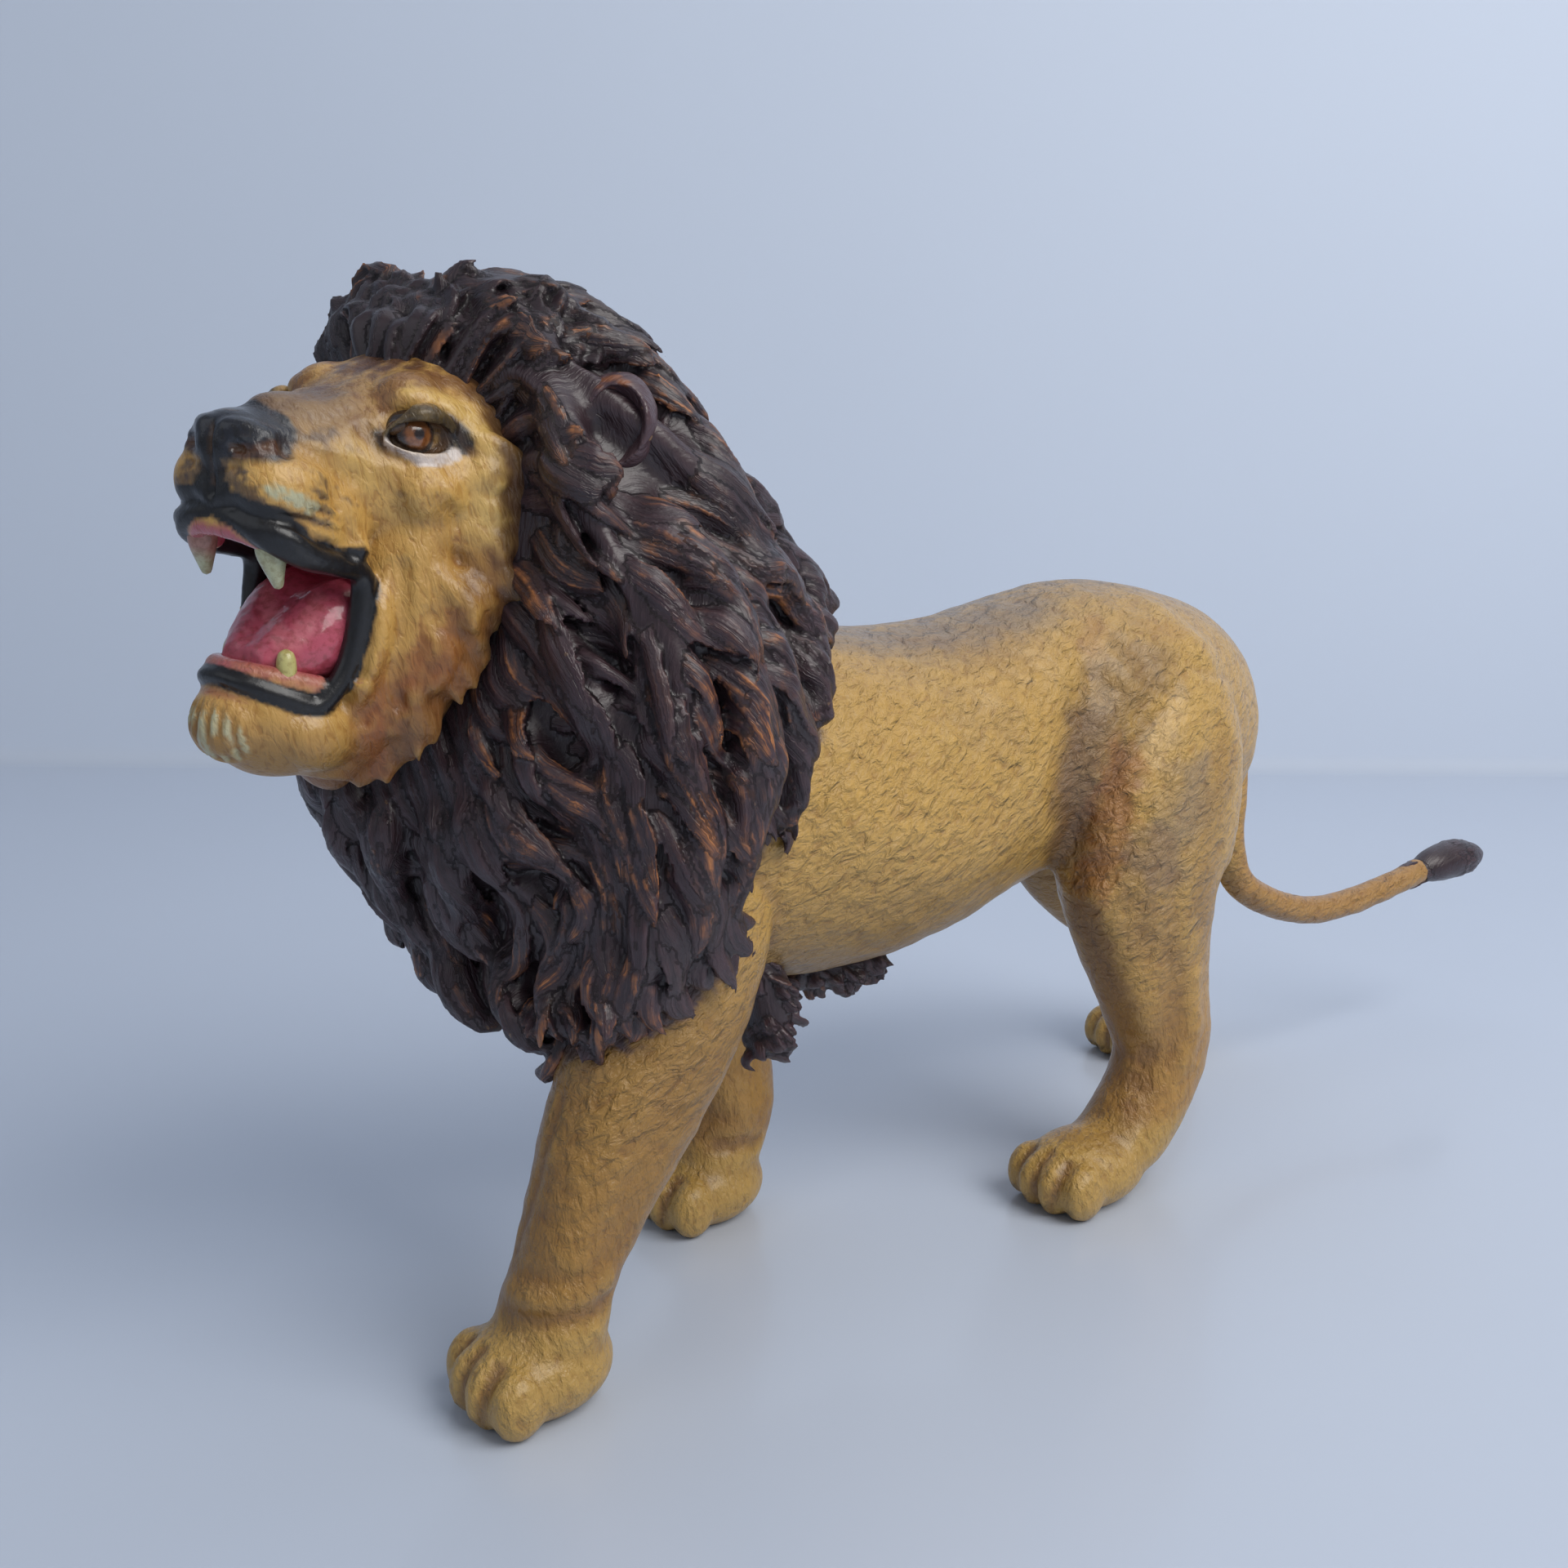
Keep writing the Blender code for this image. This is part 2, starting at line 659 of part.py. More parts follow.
def head_ball(shares, side=1, fineness=3):
    """An ellipsoid on the head from its place and radii; side is -1 for its right."""
    (forward, left, up), radii_shares = shares
    radii = (radii_shares[0] * HEAD_LENGTH, radii_shares[1] * HEAD_HALF_WIDTH,
             radii_shares[2] * HEAD_HEIGHT)
    return ball(on_head(forward, side * left, up), radii, head_turn(), fineness)


def ear_hollow(place):
    """The hollow in an ear's cup, a little forward and outward of its middle."""
    forward, left, up = place
    ahead, outward, above = HOLLOW_STEP_SHARES
    middle = (forward + ahead, left + math.copysign(outward, left), up + above)
    return head_ball((middle, HOLLOW_RADII_SHARES), fineness=2)


def fang(shares, side):
    """A slim tooth from its root in the gum to its tip."""
    (root_forward, root_left, root_up), (tip_forward, tip_left, tip_up) = shares
    root = on_head(root_forward, side * root_left, root_up)
    tip = on_head(tip_forward, side * tip_left, tip_up)
    stations = [(root.lerp(tip, along), girth * FANG_RADIUS, girth * FANG_RADIUS)
                for along, girth in FANG_PROFILE_SHARES]
    return limb(stations, 1, sides=SLIM_SIDES)


def jaw_parting():
    """The space below the seam across the cheeks."""
    turn = head_turn()
    return block(on_head(0, 0, JAW_PARTING_SHARE), turn.col[1], turn.col[0],
                 CLEAR_OF_ALL * HEAD_HALF_WIDTH, CLEAR_OF_ALL * HEAD_LENGTH,
                 CLEAR_OF_ALL * HEAD_HEIGHT)


def jaw_pin(side):
    """A locating pin on top of the lower jaw's cheek."""
    forward, left = JAW_PIN_SHARES
    foot = on_head(forward, side * left, JAW_PARTING_SHARE)
    rise = head_turn().col[2] * PIN_LENGTH
    return rod(foot - rise, foot + rise, PIN_RADIUS)


def tongue():
    """The tongue, before its underside is cut to the floor of the mouth."""
    turn = head_turn()
    rings = []
    for forward, up, width, height in refine(TONGUE_SHARES):
        rings.append(ring(on_head(forward, 0, up), turn.col[1], turn.col[2],
                          width * HEAD_HALF_WIDTH, height * HEAD_HEIGHT, sides=SLIM_SIDES))
    return skin(rings)


def mane_rings():
    """The sections of the mane's hood, from the flanks to the face."""
    rings = []
    for y, z, lean, rise, drop, width, yaw in refine(MANE_SHARES):
        up = Vector((0, lean, 1)).normalized()
        side = Vector((math.cos(yaw), math.sin(yaw), 0))
        rings.append(hood_ring(at(0, y, z), side, up, width * MANE_RADIUS, rise * MANE_RADIUS,
                               drop * MANE_RADIUS))
    return rings


def hood_point(grid, along, around):
    """A place on the hood and its outward direction. along is 0 at the face, 1 at the flanks."""
    rows, sides = grid.shape[:2]
    row = min(max(1 - along, 0), 1) * (rows - 1)
    low = min(int(row), rows - 2)
    column = (around % 1) * sides
    start = int(column) % sides
    following = (start + 1) % sides
    across = column - int(column)
    near = grid[low, start] * (1 - across) + grid[low, following] * across
    far = grid[low + 1, start] * (1 - across) + grid[low + 1, following] * across
    place = near + (far - near) * (row - low)
    turn = grid[low, following] - grid[low, start]
    outward = np.cross(turn, far - near)
    return Vector(place), Vector(outward).normalized()


def lock(grid, along, around, length_share, width_share, sway):
    """One lock of hair that lies along the hood, rises and tapers to its tip."""
    start, _ = hood_point(grid, along, around)
    nearby, _ = hood_point(grid, along + PROBE_SHARE, around)
    span = PROBE_SHARE * length_share * LOCK_LENGTH / (nearby - start).length
    fine = []
    for share, girth, rise in LOCK_PROFILE_SHARES:
        bend = math.sin(share * math.pi * LOCK_TURNS) * sway * LOCK_SWAY_SHARE
        hang = math.cos(2 * math.pi * around) * share * LOCK_DROOP_SHARE
        place, outward = hood_point(grid, along + share * span, around + bend - hang)
        fine.append((place + outward * rise * LOCK_RISE, outward,
                     girth * width_share * LOCK_HALF_WIDTH))
    rings = []
    for index, (centre, outward, half_width) in enumerate(fine):
        before = fine[max(index - 1, 0)][0]
        after = fine[min(index + 1, len(fine) - 1)][0]
        direction = (after - before).normalized()
        side = direction.cross(outward).normalized()
        rings.append(ring(centre, side, side.cross(direction), half_width,
                          half_width * LOCK_FLATNESS_SHARE, sides=SLIM_SIDES))
    return skin(rings)


def clear_of_ears(grid, along, around):
    """Whether a lock that starts here leaves both ears open."""
    start, _ = hood_point(grid, along + PROBE_SHARE, around)
    ears = [on_head(*place) for place in EAR_SHARES]
    return all((start - ear).length > EAR_CLEARANCE for ear in ears)


def mane():
    """The hood with its rows of locks, each row set between the locks of the last."""
    rings = mane_rings()
    grid = np.array([[list(point) for point in points] for points in rings])
    forms = [skin(rings)]
    for row, (along, count, length_share, width_share) in enumerate(LOCK_ROWS):
        for index in range(count):
            around = (index + 0.5 * (row % 2)) / count
            if clear_of_ears(grid, along, around):
                sway = math.sin(SWAY_STEP * index + SWAY_ROW_STEP * row)
                forms.append(lock(grid, along, around, length_share, width_share, sway))
    for place in EAR_SHARES:
        forms.append(head_ball((place, EAR_RADII_SHARES)))
    return forms


def mane_seat():
    """The space in front of the trunk's end, where the mane's moulding is solid."""
    y, z, lean = MANE_SHARES[0][:3]
    up = Vector((0, lean, 1)).normalized()
    out = LEFT.cross(up)
    clear = CLEAR_OF_ALL * MANE_RADIUS
    return block(at(0, y, z) + out * RIM_OVERLAP, LEFT, up, clear, clear, clear)


def neck_plug():
    """The plug on the trunk that the mane is glued over."""
    start = at(0, *MANE_SHARES[0][:2])
    end = at(0, *MANE_SHARES[2][:2])
    return rod(start + (start - end), end, NECK_PLUG_RADIUS)


def skull_back():
    """The space behind the face, which the mane's moulding fills."""
    turn = head_turn()
    return block(on_head(SKULL_BACK_SHARE, 0, 0), turn.col[2], turn.col[1],
                 CLEAR_OF_ALL * HEAD_HEIGHT, CLEAR_OF_ALL * HEAD_HALF_WIDTH,
                 CLEAR_OF_ALL * HEAD_LENGTH)


def head_plug():
    """The plug behind the face that is glued into the mane."""
    start = on_head(SKULL_BACK_SHARE / 2, 0, 0)
    return rod(start, on_head(2 * SKULL_BACK_SHARE, 0, 0), HEAD_PLUG_RADIUS)


PAINTS = {
    "torso": ((0.62, 0.38, 0.13), 0.45),
    "tail": ((0.60, 0.34, 0.09), 0.45),
    "mane": ((0.065, 0.035, 0.03), 0.35),
    "head": ((0.62, 0.38, 0.14), 0.45),
    "lower_jaw": ((0.62, 0.38, 0.14), 0.45),
    "tongue": ((0.38, 0.02, 0.03), 0.25),
}
LEG_PAINT = ((0.66, 0.43, 0.15), 0.45)


def paint(made):
    """Its own material, and smooth shading that keeps the parted edges sharp."""
    colour, roughness = PAINTS.get(made.name, LEG_PAINT)
    material = bpy.data.materials.new(made.name + "_paint")
    material.use_nodes = True
    shader = material.node_tree.nodes["Principled BSDF"]
    shader.inputs["Base Color"].default_value = (*colour, 1)
    shader.inputs["Roughness"].default_value = roughness
    shader.inputs["Metallic"].default_value = 0
    made.data.materials.clear()
    made.data.materials.append(material)
    made.data.shade_smooth()
    made.data.set_sharp_from_angle(angle=math.radians(50))


def make_body(shop):
    """The trunk and the four legs, melted into one skin and then parted along the seams."""
    forms = [trunk(), *fringe()]
    for name in LEG_SHARES:
        forms += leg(name)
    torso = melt(shop.part("torso", *forms), BODY_VOXEL, 3, BODY_FACETS)
    clear = CLEAR_OF_ALL * BODY_LENGTH
    floor = shop.cutter("floor", block(Vector(), LEFT, FORWARD, clear, clear, BACK_HEIGHT))
    combine(torso, floor, "DIFFERENCE")
    legs = {}
    for name in LEG_SHARES:
        space = shop.cutter(name + "_parting", leg_parting(name))
        legs[name] = combine(shop.copy(torso, name), space, "INTERSECT")
        drop_crumbs(legs[name])
    combine(torso, shop.cutter("mane_seat", mane_seat()), "DIFFERENCE")
    combine(torso, shop.cutter("neck_plug", neck_plug()), "UNION")
    for name in LEG_SHARES:
        fit_over(torso, shop.cutters.objects[name + "_parting"], shop)
        peg = shop.cutter(name + "_peg", leg_peg(name))
        combine(torso, shop.room(peg), "DIFFERENCE")
        combine(legs[name], peg, "UNION")
    tail_made = shop.part("tail", tail())
    combine(torso, shop.room(tail_made), "DIFFERENCE")
    drop_crumbs(torso)
    return torso, legs


def make_head(shop):
    """The head, the lower jaw and the tongue."""
    forms = [head_loft(SKULL_SHARES), cheeks(), head_loft(JAW_SHARES), head_ball(NOSE_SHARES)]
    for side in (-1, 1):
        forms += [head_ball(PAD_SHARES, side), head_ball(BROW_SHARES, side)]
    head = melt(shop.part("head", *forms), FACE_VOXEL, 3, HEAD_FACETS)
    gape = head_loft(GAPE_SHARES, GAPE_SQUARENESS, 1, CUTTER_SIDES)
    throat = head_loft(THROAT_SHARES, THROAT_SQUARENESS, 1, CUTTER_SIDES)
    combine(head, shop.cutter("gape", gape), "DIFFERENCE")
    combine(head, shop.cutter("throat", throat), "DIFFERENCE")
    combine(head, shop.cutter("skull_back", skull_back()), "DIFFERENCE")
    space = shop.cutter("jaw_parting", jaw_parting())
    jaw = combine(shop.copy(head, "lower_jaw"), space, "INTERSECT")
    combine(head, shop.room(space), "DIFFERENCE")
    combine(head, shop.cutter("head_plug", head_plug()), "UNION")
    for side in (-1, 1):
        pin = shop.cutter("jaw_pin", jaw_pin(side))
        combine(head, shop.room(pin), "DIFFERENCE")
        combine(jaw, pin, "UNION")
        combine(head, shop.cutter("upper_fang", fang(UPPER_FANG_SHARES, side)), "UNION")
        combine(jaw, shop.cutter("lower_fang", fang(LOWER_FANG_SHARES, side)), "UNION")
    drop_crumbs(head)
    drop_crumbs(jaw)
    tongue_made = shop.part("tongue", tongue())
    for neighbour in (jaw, head):
        fit_over(tongue_made, neighbour, shop)
    drop_crumbs(tongue_made)
    return head, jaw


def make_mane(shop, neighbours):
    """The mane, hollowed to fit over what it is glued to."""
    made = melt(shop.part("mane", *mane()), MANE_VOXEL, 1, MANE_FACETS)
    for place in EAR_SHARES:
        combine(made, shop.cutter("ear_hollow", ear_hollow(place)), "DIFFERENCE")
    for neighbour in neighbours:
        fit_over(made, neighbour, shop)
    drop_crumbs(made)


def centre_figure(shop):
    """Hangs every moulding on one empty, with the middle of the figure's box over the origin."""
    bpy.context.view_layer.update()
    corners = np.array([list(vertex.co) for made in shop.parts.objects
                        for vertex in made.data.vertices])
    middle = (corners.min(axis=0) + corners.max(axis=0)) / 2
    root = bpy.data.objects.new(FIGURE + "_root", None)
    shop.parts.objects.link(root)
    root.location = (-middle[0], -middle[1], 0)
    for made in list(shop.parts.objects):
        if made is not root:
            made.parent = root
            paint(made)


def build():
    shop = Workshop()
    torso, legs = make_body(shop)
    head, jaw = make_head(shop)
    make_mane(shop, (torso, legs["front_left_leg"], legs["front_right_leg"], head, jaw))
    centre_figure(shop)


build()
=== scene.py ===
"""The looks of a roaring male lion: sculpted skins, a mane of layered locks, and hand paint.

Sculpting is done in millimetres in the sculptor's frame: the lion faces -Y, its left is +X, and it
stands on z = 0. SHIFT takes that frame to the CAD's. The head has its own frame: forward, left
and up from a point between the eyes.
"""

import math

import bmesh
import bpy
import numpy as np
from mathutils import Matrix, Vector
from mathutils.bvhtree import BVHTree


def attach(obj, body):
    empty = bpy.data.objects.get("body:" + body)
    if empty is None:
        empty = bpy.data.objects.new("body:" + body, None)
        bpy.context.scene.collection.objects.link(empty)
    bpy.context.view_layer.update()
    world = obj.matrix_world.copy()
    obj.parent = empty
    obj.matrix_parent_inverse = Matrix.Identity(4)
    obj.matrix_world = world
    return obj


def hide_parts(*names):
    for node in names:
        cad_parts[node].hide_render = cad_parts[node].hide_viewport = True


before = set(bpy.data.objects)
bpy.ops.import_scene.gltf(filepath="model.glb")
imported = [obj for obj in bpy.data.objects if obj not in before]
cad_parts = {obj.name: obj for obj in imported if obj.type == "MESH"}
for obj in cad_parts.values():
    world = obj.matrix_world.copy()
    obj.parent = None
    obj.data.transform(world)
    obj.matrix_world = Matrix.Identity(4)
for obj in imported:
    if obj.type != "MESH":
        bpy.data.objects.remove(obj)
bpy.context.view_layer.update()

MM = 0.001
SHIFT = np.array((-0.026, -26.386, 0.0))

HEAD_ORIGIN = np.array((-0.2, -57.8, 87.22))
HEAD_YAW, HEAD_PITCH, HEAD_ROLL = (math.radians(angle) for angle in (23.8, 9.5, 6.1))

BODY_VOXEL = 0.60
FACE_VOXEL = 0.30
MANE_VOXEL = 0.33
TUFT_VOXEL = 0.30

# tables shared with the CAD (mm)
TRUNK = (
    (65.2, 59.3, 48.8, 3.5), (62.8, 66.0, 43.5, 7.7), (57, 70.5, 42, 10.9), (50, 73.1, 41.3, 13.6),
    (40, 75.2, 40.9, 15.5), (30, 75.5, 40.1, 15.2), (20, 73.8, 37.9, 14.6), (10, 72.0, 34.7, 15.5),
    (0, 71.5, 32.9, 16.6), (-10, 72.4, 32.6, 17.3), (-20, 73.9, 33.5, 17.0), (-30, 75, 34.1, 16.0),
    (-40, 75, 36, 13.6), (-46, 71.3, 41.3, 9.6),
)
LEGS = {
    "front_left": ((7.2, -31, 57, 7, 9.5), (9, -31.5, 50.3, 7.4, 10.5), (11.4, -32.8, 43.1, 7.4, 10.2),
                   (13.3, -36.5, 34.9, 7, 8.8), (13.8, -41.2, 26.6, 6, 8), (13.9, -44.8, 19.5, 5.6, 6.4),
                   (13.9, -47.6, 13.1, 5.3, 5.3), (13.9, -49, 8.6, 5.6, 5.5), (13.9, -50, 5.3, 5.5, 5)),
    "front_right": ((-7.2, -28, 57, 7, 9.5), (-9.3, -26.5, 50.3, 7.4, 10.8), (-11, -24, 43.1, 7.5, 10.6),
                    (-11.4, -20.5, 34.9, 7, 9.3), (-10.9, -17, 27, 6.2, 8.2), (-10.4, -14, 19.9, 5.8, 7),
                    (-10.1, -12.5, 14.3, 5.6, 6.2), (-10.1, -14, 9, 5.6, 6), (-10.1, -15.8, 5.3, 5.5, 5)),
    "hind_left": ((8, 42, 63, 7.5, 10), (9.3, 40.5, 55.5, 8.8, 13.4), (10.9, 37.5, 47.3, 8.8, 14.6),
                  (12.3, 35, 39.8, 7.8, 13), (13.3, 35.5, 31.5, 6.6, 10), (13.8, 37.3, 24, 5.7, 8),
                  (14, 38.7, 17.6, 5.2, 7.2), (14, 36.5, 11.6, 5.2, 6.4), (14, 32.5, 7.1, 5.5, 5.6),
                  (14, 28.5, 4.9, 5.5, 4.2)),
    "hind_right": ((-9, 45, 61.5, 8, 12), (-9.9, 46, 54.8, 8.8, 15), (-11.5, 47, 47.3, 8.6, 15),
                   (-12.8, 50, 39.8, 7.6, 12.5), (-13.8, 56, 32.3, 6.5, 10.2), (-14.7, 63.5, 26.3, 5.6, 8.4),
                   (-15.5, 72, 20.3, 5.2, 7.6), (-16, 75.5, 13.5, 5.3, 7), (-16.5, 75, 7.5, 5.6, 6.2),
                   (-16.6, 72, 4.5, 5.5, 4.5)),
}
PAWS = {
    "front_left": (13.9, -51.0, 7.8, 6.6),
    "front_right": (-10.1, -16.0, 8.0, 6.6),
    "hind_left": (14.0, 25.2, 8.8, 6.4),
    "hind_right": (-16.3, 71.5, 8.8, 6.4),
}
TAIL = (
    (0, 56, 66.4, 3.4), (0, 61.5, 63.4, 3.6), (0, 65.5, 56.3, 3.3), (0, 67.2, 47.3, 2.75),
    (0, 67.8, 38.3, 2.46), (0, 70.2, 31.5, 2.3), (0.8, 76.5, 27.2, 2.2), (1.6, 86, 24.4, 2.15),
    (2.4, 95, 24.4, 2.1), (3.2, 105, 25.9, 2.0), (3.5, 112, 27.2, 2.0), (3.7, 115, 27.6, 2.9),
    (3.8, 120, 27.9, 3.3), (4, 125, 27.9, 2.5), (4, 128.3, 27.8, 0.9),
)
SKULL = (
    (-16, 7.7, -4.9, 7.2), (-11, 11.8, -8.7, 11.2), (-5, 13, -10.1, 12.4), (0, 12.2, -8.4, 11.4),
    (4, 9.8, -7, 9.1), (8, 7, -6.4, 6.8), (12, 5.0, -6.0, 5.7), (16, 3.8, -5.6, 4.7), (18, 2.2, -4.2, 3.1),
)
CHEEKS = (
    (-4, 0, 8.4, 10.9), (-2.8, -5.6, 8.4, 10.9), (-2, -11.2, 8, 10.7), (-1.2, -16.8, 7.4, 9.6),
    (0.2, -22.4, 6.6, 7.8), (2, -26.6, 4, 4.9),
)
JAW = (
    (0, -16.8, -25.6, 7.5), (5, -17.9, -26.6, 6.9), (9, -17.6, -27, 6.0), (12, -17.1, -25.8, 4.8),
    (14, -18.5, -24.1, 2.6),
)
MANE_RADIUS = 29.2
MANE = (
    (-26, 54, 0.75, 0.87, 0.86, 0.60, 0.0), (-31, 59.25, 0.58, 0.86, 1.00, 0.76, 0.0),
    (-37, 65.25, 0.38, 0.91, 1.04, 0.82, 0.10), (-44, 71.25, 0.12, 1.07, 1.04, 0.81, 0.24),
    (-49.5, 76.5, 0.02, 1.01, 1.01, 0.74, 0.36), (-53, 79.5, 0.06, 0.89, 0.90, 0.60, 0.42),
    (-54.7, 80.25, 0.06, 0.62, 0.72, 0.42, 0.42),
)
LOCK_ROWS = (
    (0.03, 17, 0.80, 0.80), (0.20, 18, 0.95, 0.88), (0.40, 19, 1.00, 0.92), (0.60, 19, 0.95, 0.92),
    (0.79, 17, 0.70, 0.85),
)
CLUMP = ((0.0, 0.45, -0.7), (0.2, 0.9, 0.05), (0.5, 1.0, 0.6), (0.8, 0.62, 0.95), (1.0, 0.12, 0.9))
CLUMP_LENGTH, CLUMP_HALF_WIDTH, CLUMP_RISE, CLUMP_FLATNESS = 17.0, 3.0, 1.9, 0.95
CLUMP_SWAY, CLUMP_DROOP, CLUMP_TURNS = 0.022, 0.065, 1.6


# forms
def catmull(table, steps):
    """Smooth steps between the rows of a table."""
    table = np.array(table, dtype=float)
    padded = np.vstack((2 * table[0] - table[1], table, 2 * table[-1] - table[-2]))
    rows = []
    for index in range(len(table) - 1):
        before, start, end, after = padded[index:index + 4]
        for step in range(steps):
            t = step / steps
            rows.append(0.5 * (2 * start + (end - before) * t
                               + (2 * before - 5 * start + 4 * end - after) * t ** 2
                               + (3 * start - before - 3 * end + after) * t ** 3))
    rows.append(table[-1])
    return np.array(rows)


def oval(sides, squareness=1.0):
    angle = 2 * np.pi * np.arange(sides) / sides
    across = np.sign(np.cos(angle)) * np.abs(np.cos(angle)) ** squareness
    height = np.sign(np.sin(angle)) * np.abs(np.sin(angle)) ** squareness
    return across, height


def sweep(rings):
    """A closed form over rings of points, as points and faces."""
    rings = np.array(rings)
    count, sides = rings.shape[:2]
    index = np.arange(count * sides).reshape(count, sides)
    turned = np.roll(index, -1, axis=1)
    quads = np.stack((index[:-1], turned[:-1], turned[1:], index[1:]), axis=-1).reshape(-1, 4)
    faces = quads.tolist()
    faces.append(index[0][::-1].tolist())
    faces.append(index[-1].tolist())
    return rings.reshape(-1, 3), faces


def unit(vectors):
    return vectors / np.maximum(np.linalg.norm(vectors, axis=-1, keepdims=True), 1e-9)


def tube(path, radii, steps=3, sides=20, flat=1.0, side_hint=(1, 0, 0)):
    """A tube through the points of a path. flat squeezes it along its second direction."""
    radii = np.broadcast_to(np.atleast_1d(radii), (len(path),)) if np.ndim(radii) == 0 else radii
    rows = catmull([(*point, radius) for point, radius in zip(path, radii)], steps)
    centre, radius = rows[:, :3], rows[:, 3:4]
    along = unit(np.gradient(centre, axis=0))
    side = unit(np.asarray(side_hint, float) - along * (along @ np.asarray(side_hint, float))[:, None])
    up = np.cross(along, side)
    across, height = oval(sides)
    rings = (centre[:, None] + side[:, None] * (across[None, :, None] * radius[:, None])
             + up[:, None] * (height[None, :, None] * radius[:, None] * flat))
    points, faces = sweep(rings)
    # Round ends
    start, end = len(points), len(points) + 1
    tips = np.array((centre[0] - along[0] * radius[0] * 0.6, centre[-1] + along[-1] * radius[-1] * 0.6))
    faces = faces[:-2]
    last = len(points) - sides
    for step in range(sides):
        following = (step + 1) % sides
        faces.append([start, following, step])
        faces.append([end, last + step, last + following])
    return np.vstack((points, tips)), faces


def limb(rows, steps=5, sides=32):
    """A limb through rows of centre, half width and half depth."""
    rows = catmull(rows, steps)
    centre = rows[:, :3]
    along = unit(np.gradient(centre, axis=0))
    side = unit(np.array((1.0, 0, 0)) - along * along[:, :1])
    up = np.cross(along, side)
    across, height = oval(sides)
    rings = (centre[:, None] + side[:, None] * (across[None, :, None] * rows[:, None, 3:4])
             + up[:, None] * (height[None, :, None] * rows[:, None, 4:5]))
    return sweep(rings)


def ball(centre, radii, axes=np.eye(3)):
    """An ellipsoid whose radii lie along the rows of axes."""
    form = bmesh.new()
    bmesh.ops.create_icosphere(form, subdivisions=4, radius=1)
    points = np.array([vertex.co[:] for vertex in form.verts])
    faces = [[vertex.index for vertex in face.verts] for face in form.faces]
    form.free()
    return np.asarray(centre) + (points * np.asarray(radii)) @ axes, faces


def head_axes():
    forward = np.array((math.sin(HEAD_YAW), -math.cos(HEAD_YAW), 0))
    left = np.array((math.cos(HEAD_YAW), math.sin(HEAD_YAW), 0))
    upward = np.array((0, 0, 1.0))
    nose = math.cos(HEAD_PITCH) * forward + math.sin(HEAD_PITCH) * upward
    crown = math.cos(HEAD_PITCH) * upward - math.sin(HEAD_PITCH) * forward
    cheek = math.cos(HEAD_ROLL) * left - math.sin(HEAD_ROLL) * crown
    crown = math.sin(HEAD_ROLL) * left + math.cos(HEAD_ROLL) * crown
    return np.array((nose, cheek, crown))


HEAD = head_axes()


def on_head(points):
    """From the head's frame to the sculptor's."""
    return HEAD_ORIGIN + np.asarray(points, float) @ HEAD


def in_head(points):
    """From the sculptor's frame to the head's."""
    return (points - HEAD_ORIGIN) @ HEAD.T


def mirrored(points):
    return [(forward, -left, up) for forward, left, up in points]


def head_loft(rows, steps=4, sides=36, squareness=1.0):
    """A loft along the head from rows of forward, top, bottom and half width."""
    rings = []
    across, height = oval(sides, squareness)
    for forward, top, bottom, width in catmull(rows, steps):
        middle = (top + bottom) / 2
        ring = np.stack((np.full(sides, forward), across * width,
                         middle + height * (top - bottom) / 2), axis=-1)
        rings.append(on_head(ring))
    return sweep(rings)


def cheek_loft():
    rings = []
    across, height = oval(36, 0.65)
    for forward, up, length, width in catmull(CHEEKS, 4):
        rings.append(on_head(np.stack((forward + height * length, across * width,
                                       np.full(36, up)), axis=-1)))
    return sweep(rings)


def joined(forms):
    points, faces, start = [], [], 0
    for form_points, form_faces in forms:
        points.append(form_points)
        faces += [[start + index for index in face] for face in form_faces]
        start += len(form_points)
    return np.vstack(points), faces


def made_object(name, forms):
    """A mesh object from forms, in millimetres until it is finished."""
    points, faces = joined(forms)
    mesh = bpy.data.meshes.new(name)
    mesh.from_pydata(points.tolist(), [], faces)
    form = bmesh.new()
    form.from_mesh(mesh)
    bmesh.ops.recalc_face_normals(form, faces=form.faces)
    form.to_mesh(mesh)
    form.free()
    made = bpy.data.objects.new(name, mesh)
    bpy.context.scene.collection.objects.link(made)
    return made


def settled(made):
    """Applies an object's modifiers."""
    bpy.context.view_layer.update()
    graph = bpy.context.evaluated_depsgraph_get()
    mesh = bpy.data.meshes.new_from_object(made.evaluated_get(graph))
    old, name = made.data, made.data.name
    made.modifiers.clear()
    made.data = mesh
    bpy.data.meshes.remove(old)
    mesh.name = name
    return made


def melted(made, voxel, smoothing):
    step = made.modifiers.new("melt", "REMESH")
    step.mode = "VOXEL"
    step.voxel_size = voxel
    soften = made.modifiers.new("soften", "SMOOTH")
    soften.factor = 0.5
    soften.iterations = smoothing
    return settled(made)


def cut(made, forms, solver="EXACT"):
    tool = made_object("tool", forms)
    step = made.modifiers.new("cut", "BOOLEAN")
    step.operation = "DIFFERENCE"
    step.solver = solver
    step.object = tool
    settled(made)
    bpy.data.objects.remove(tool)
    return made


def merged(made, forms):
    """Adds forms to an object's mesh, still as separate shells."""
    extra = made_object("extra", forms)
    whole = bmesh.new()
    whole.from_mesh(made.data)
    whole.from_mesh(extra.data)
    whole.to_mesh(made.data)
    whole.free()
    bpy.data.objects.remove(extra)
    return made


# noise and ramps
GRADIENTS = unit(np.random.default_rng(3).normal(size=(256, 3)))
SCRAMBLE = np.random.default_rng(5).permutation(256)


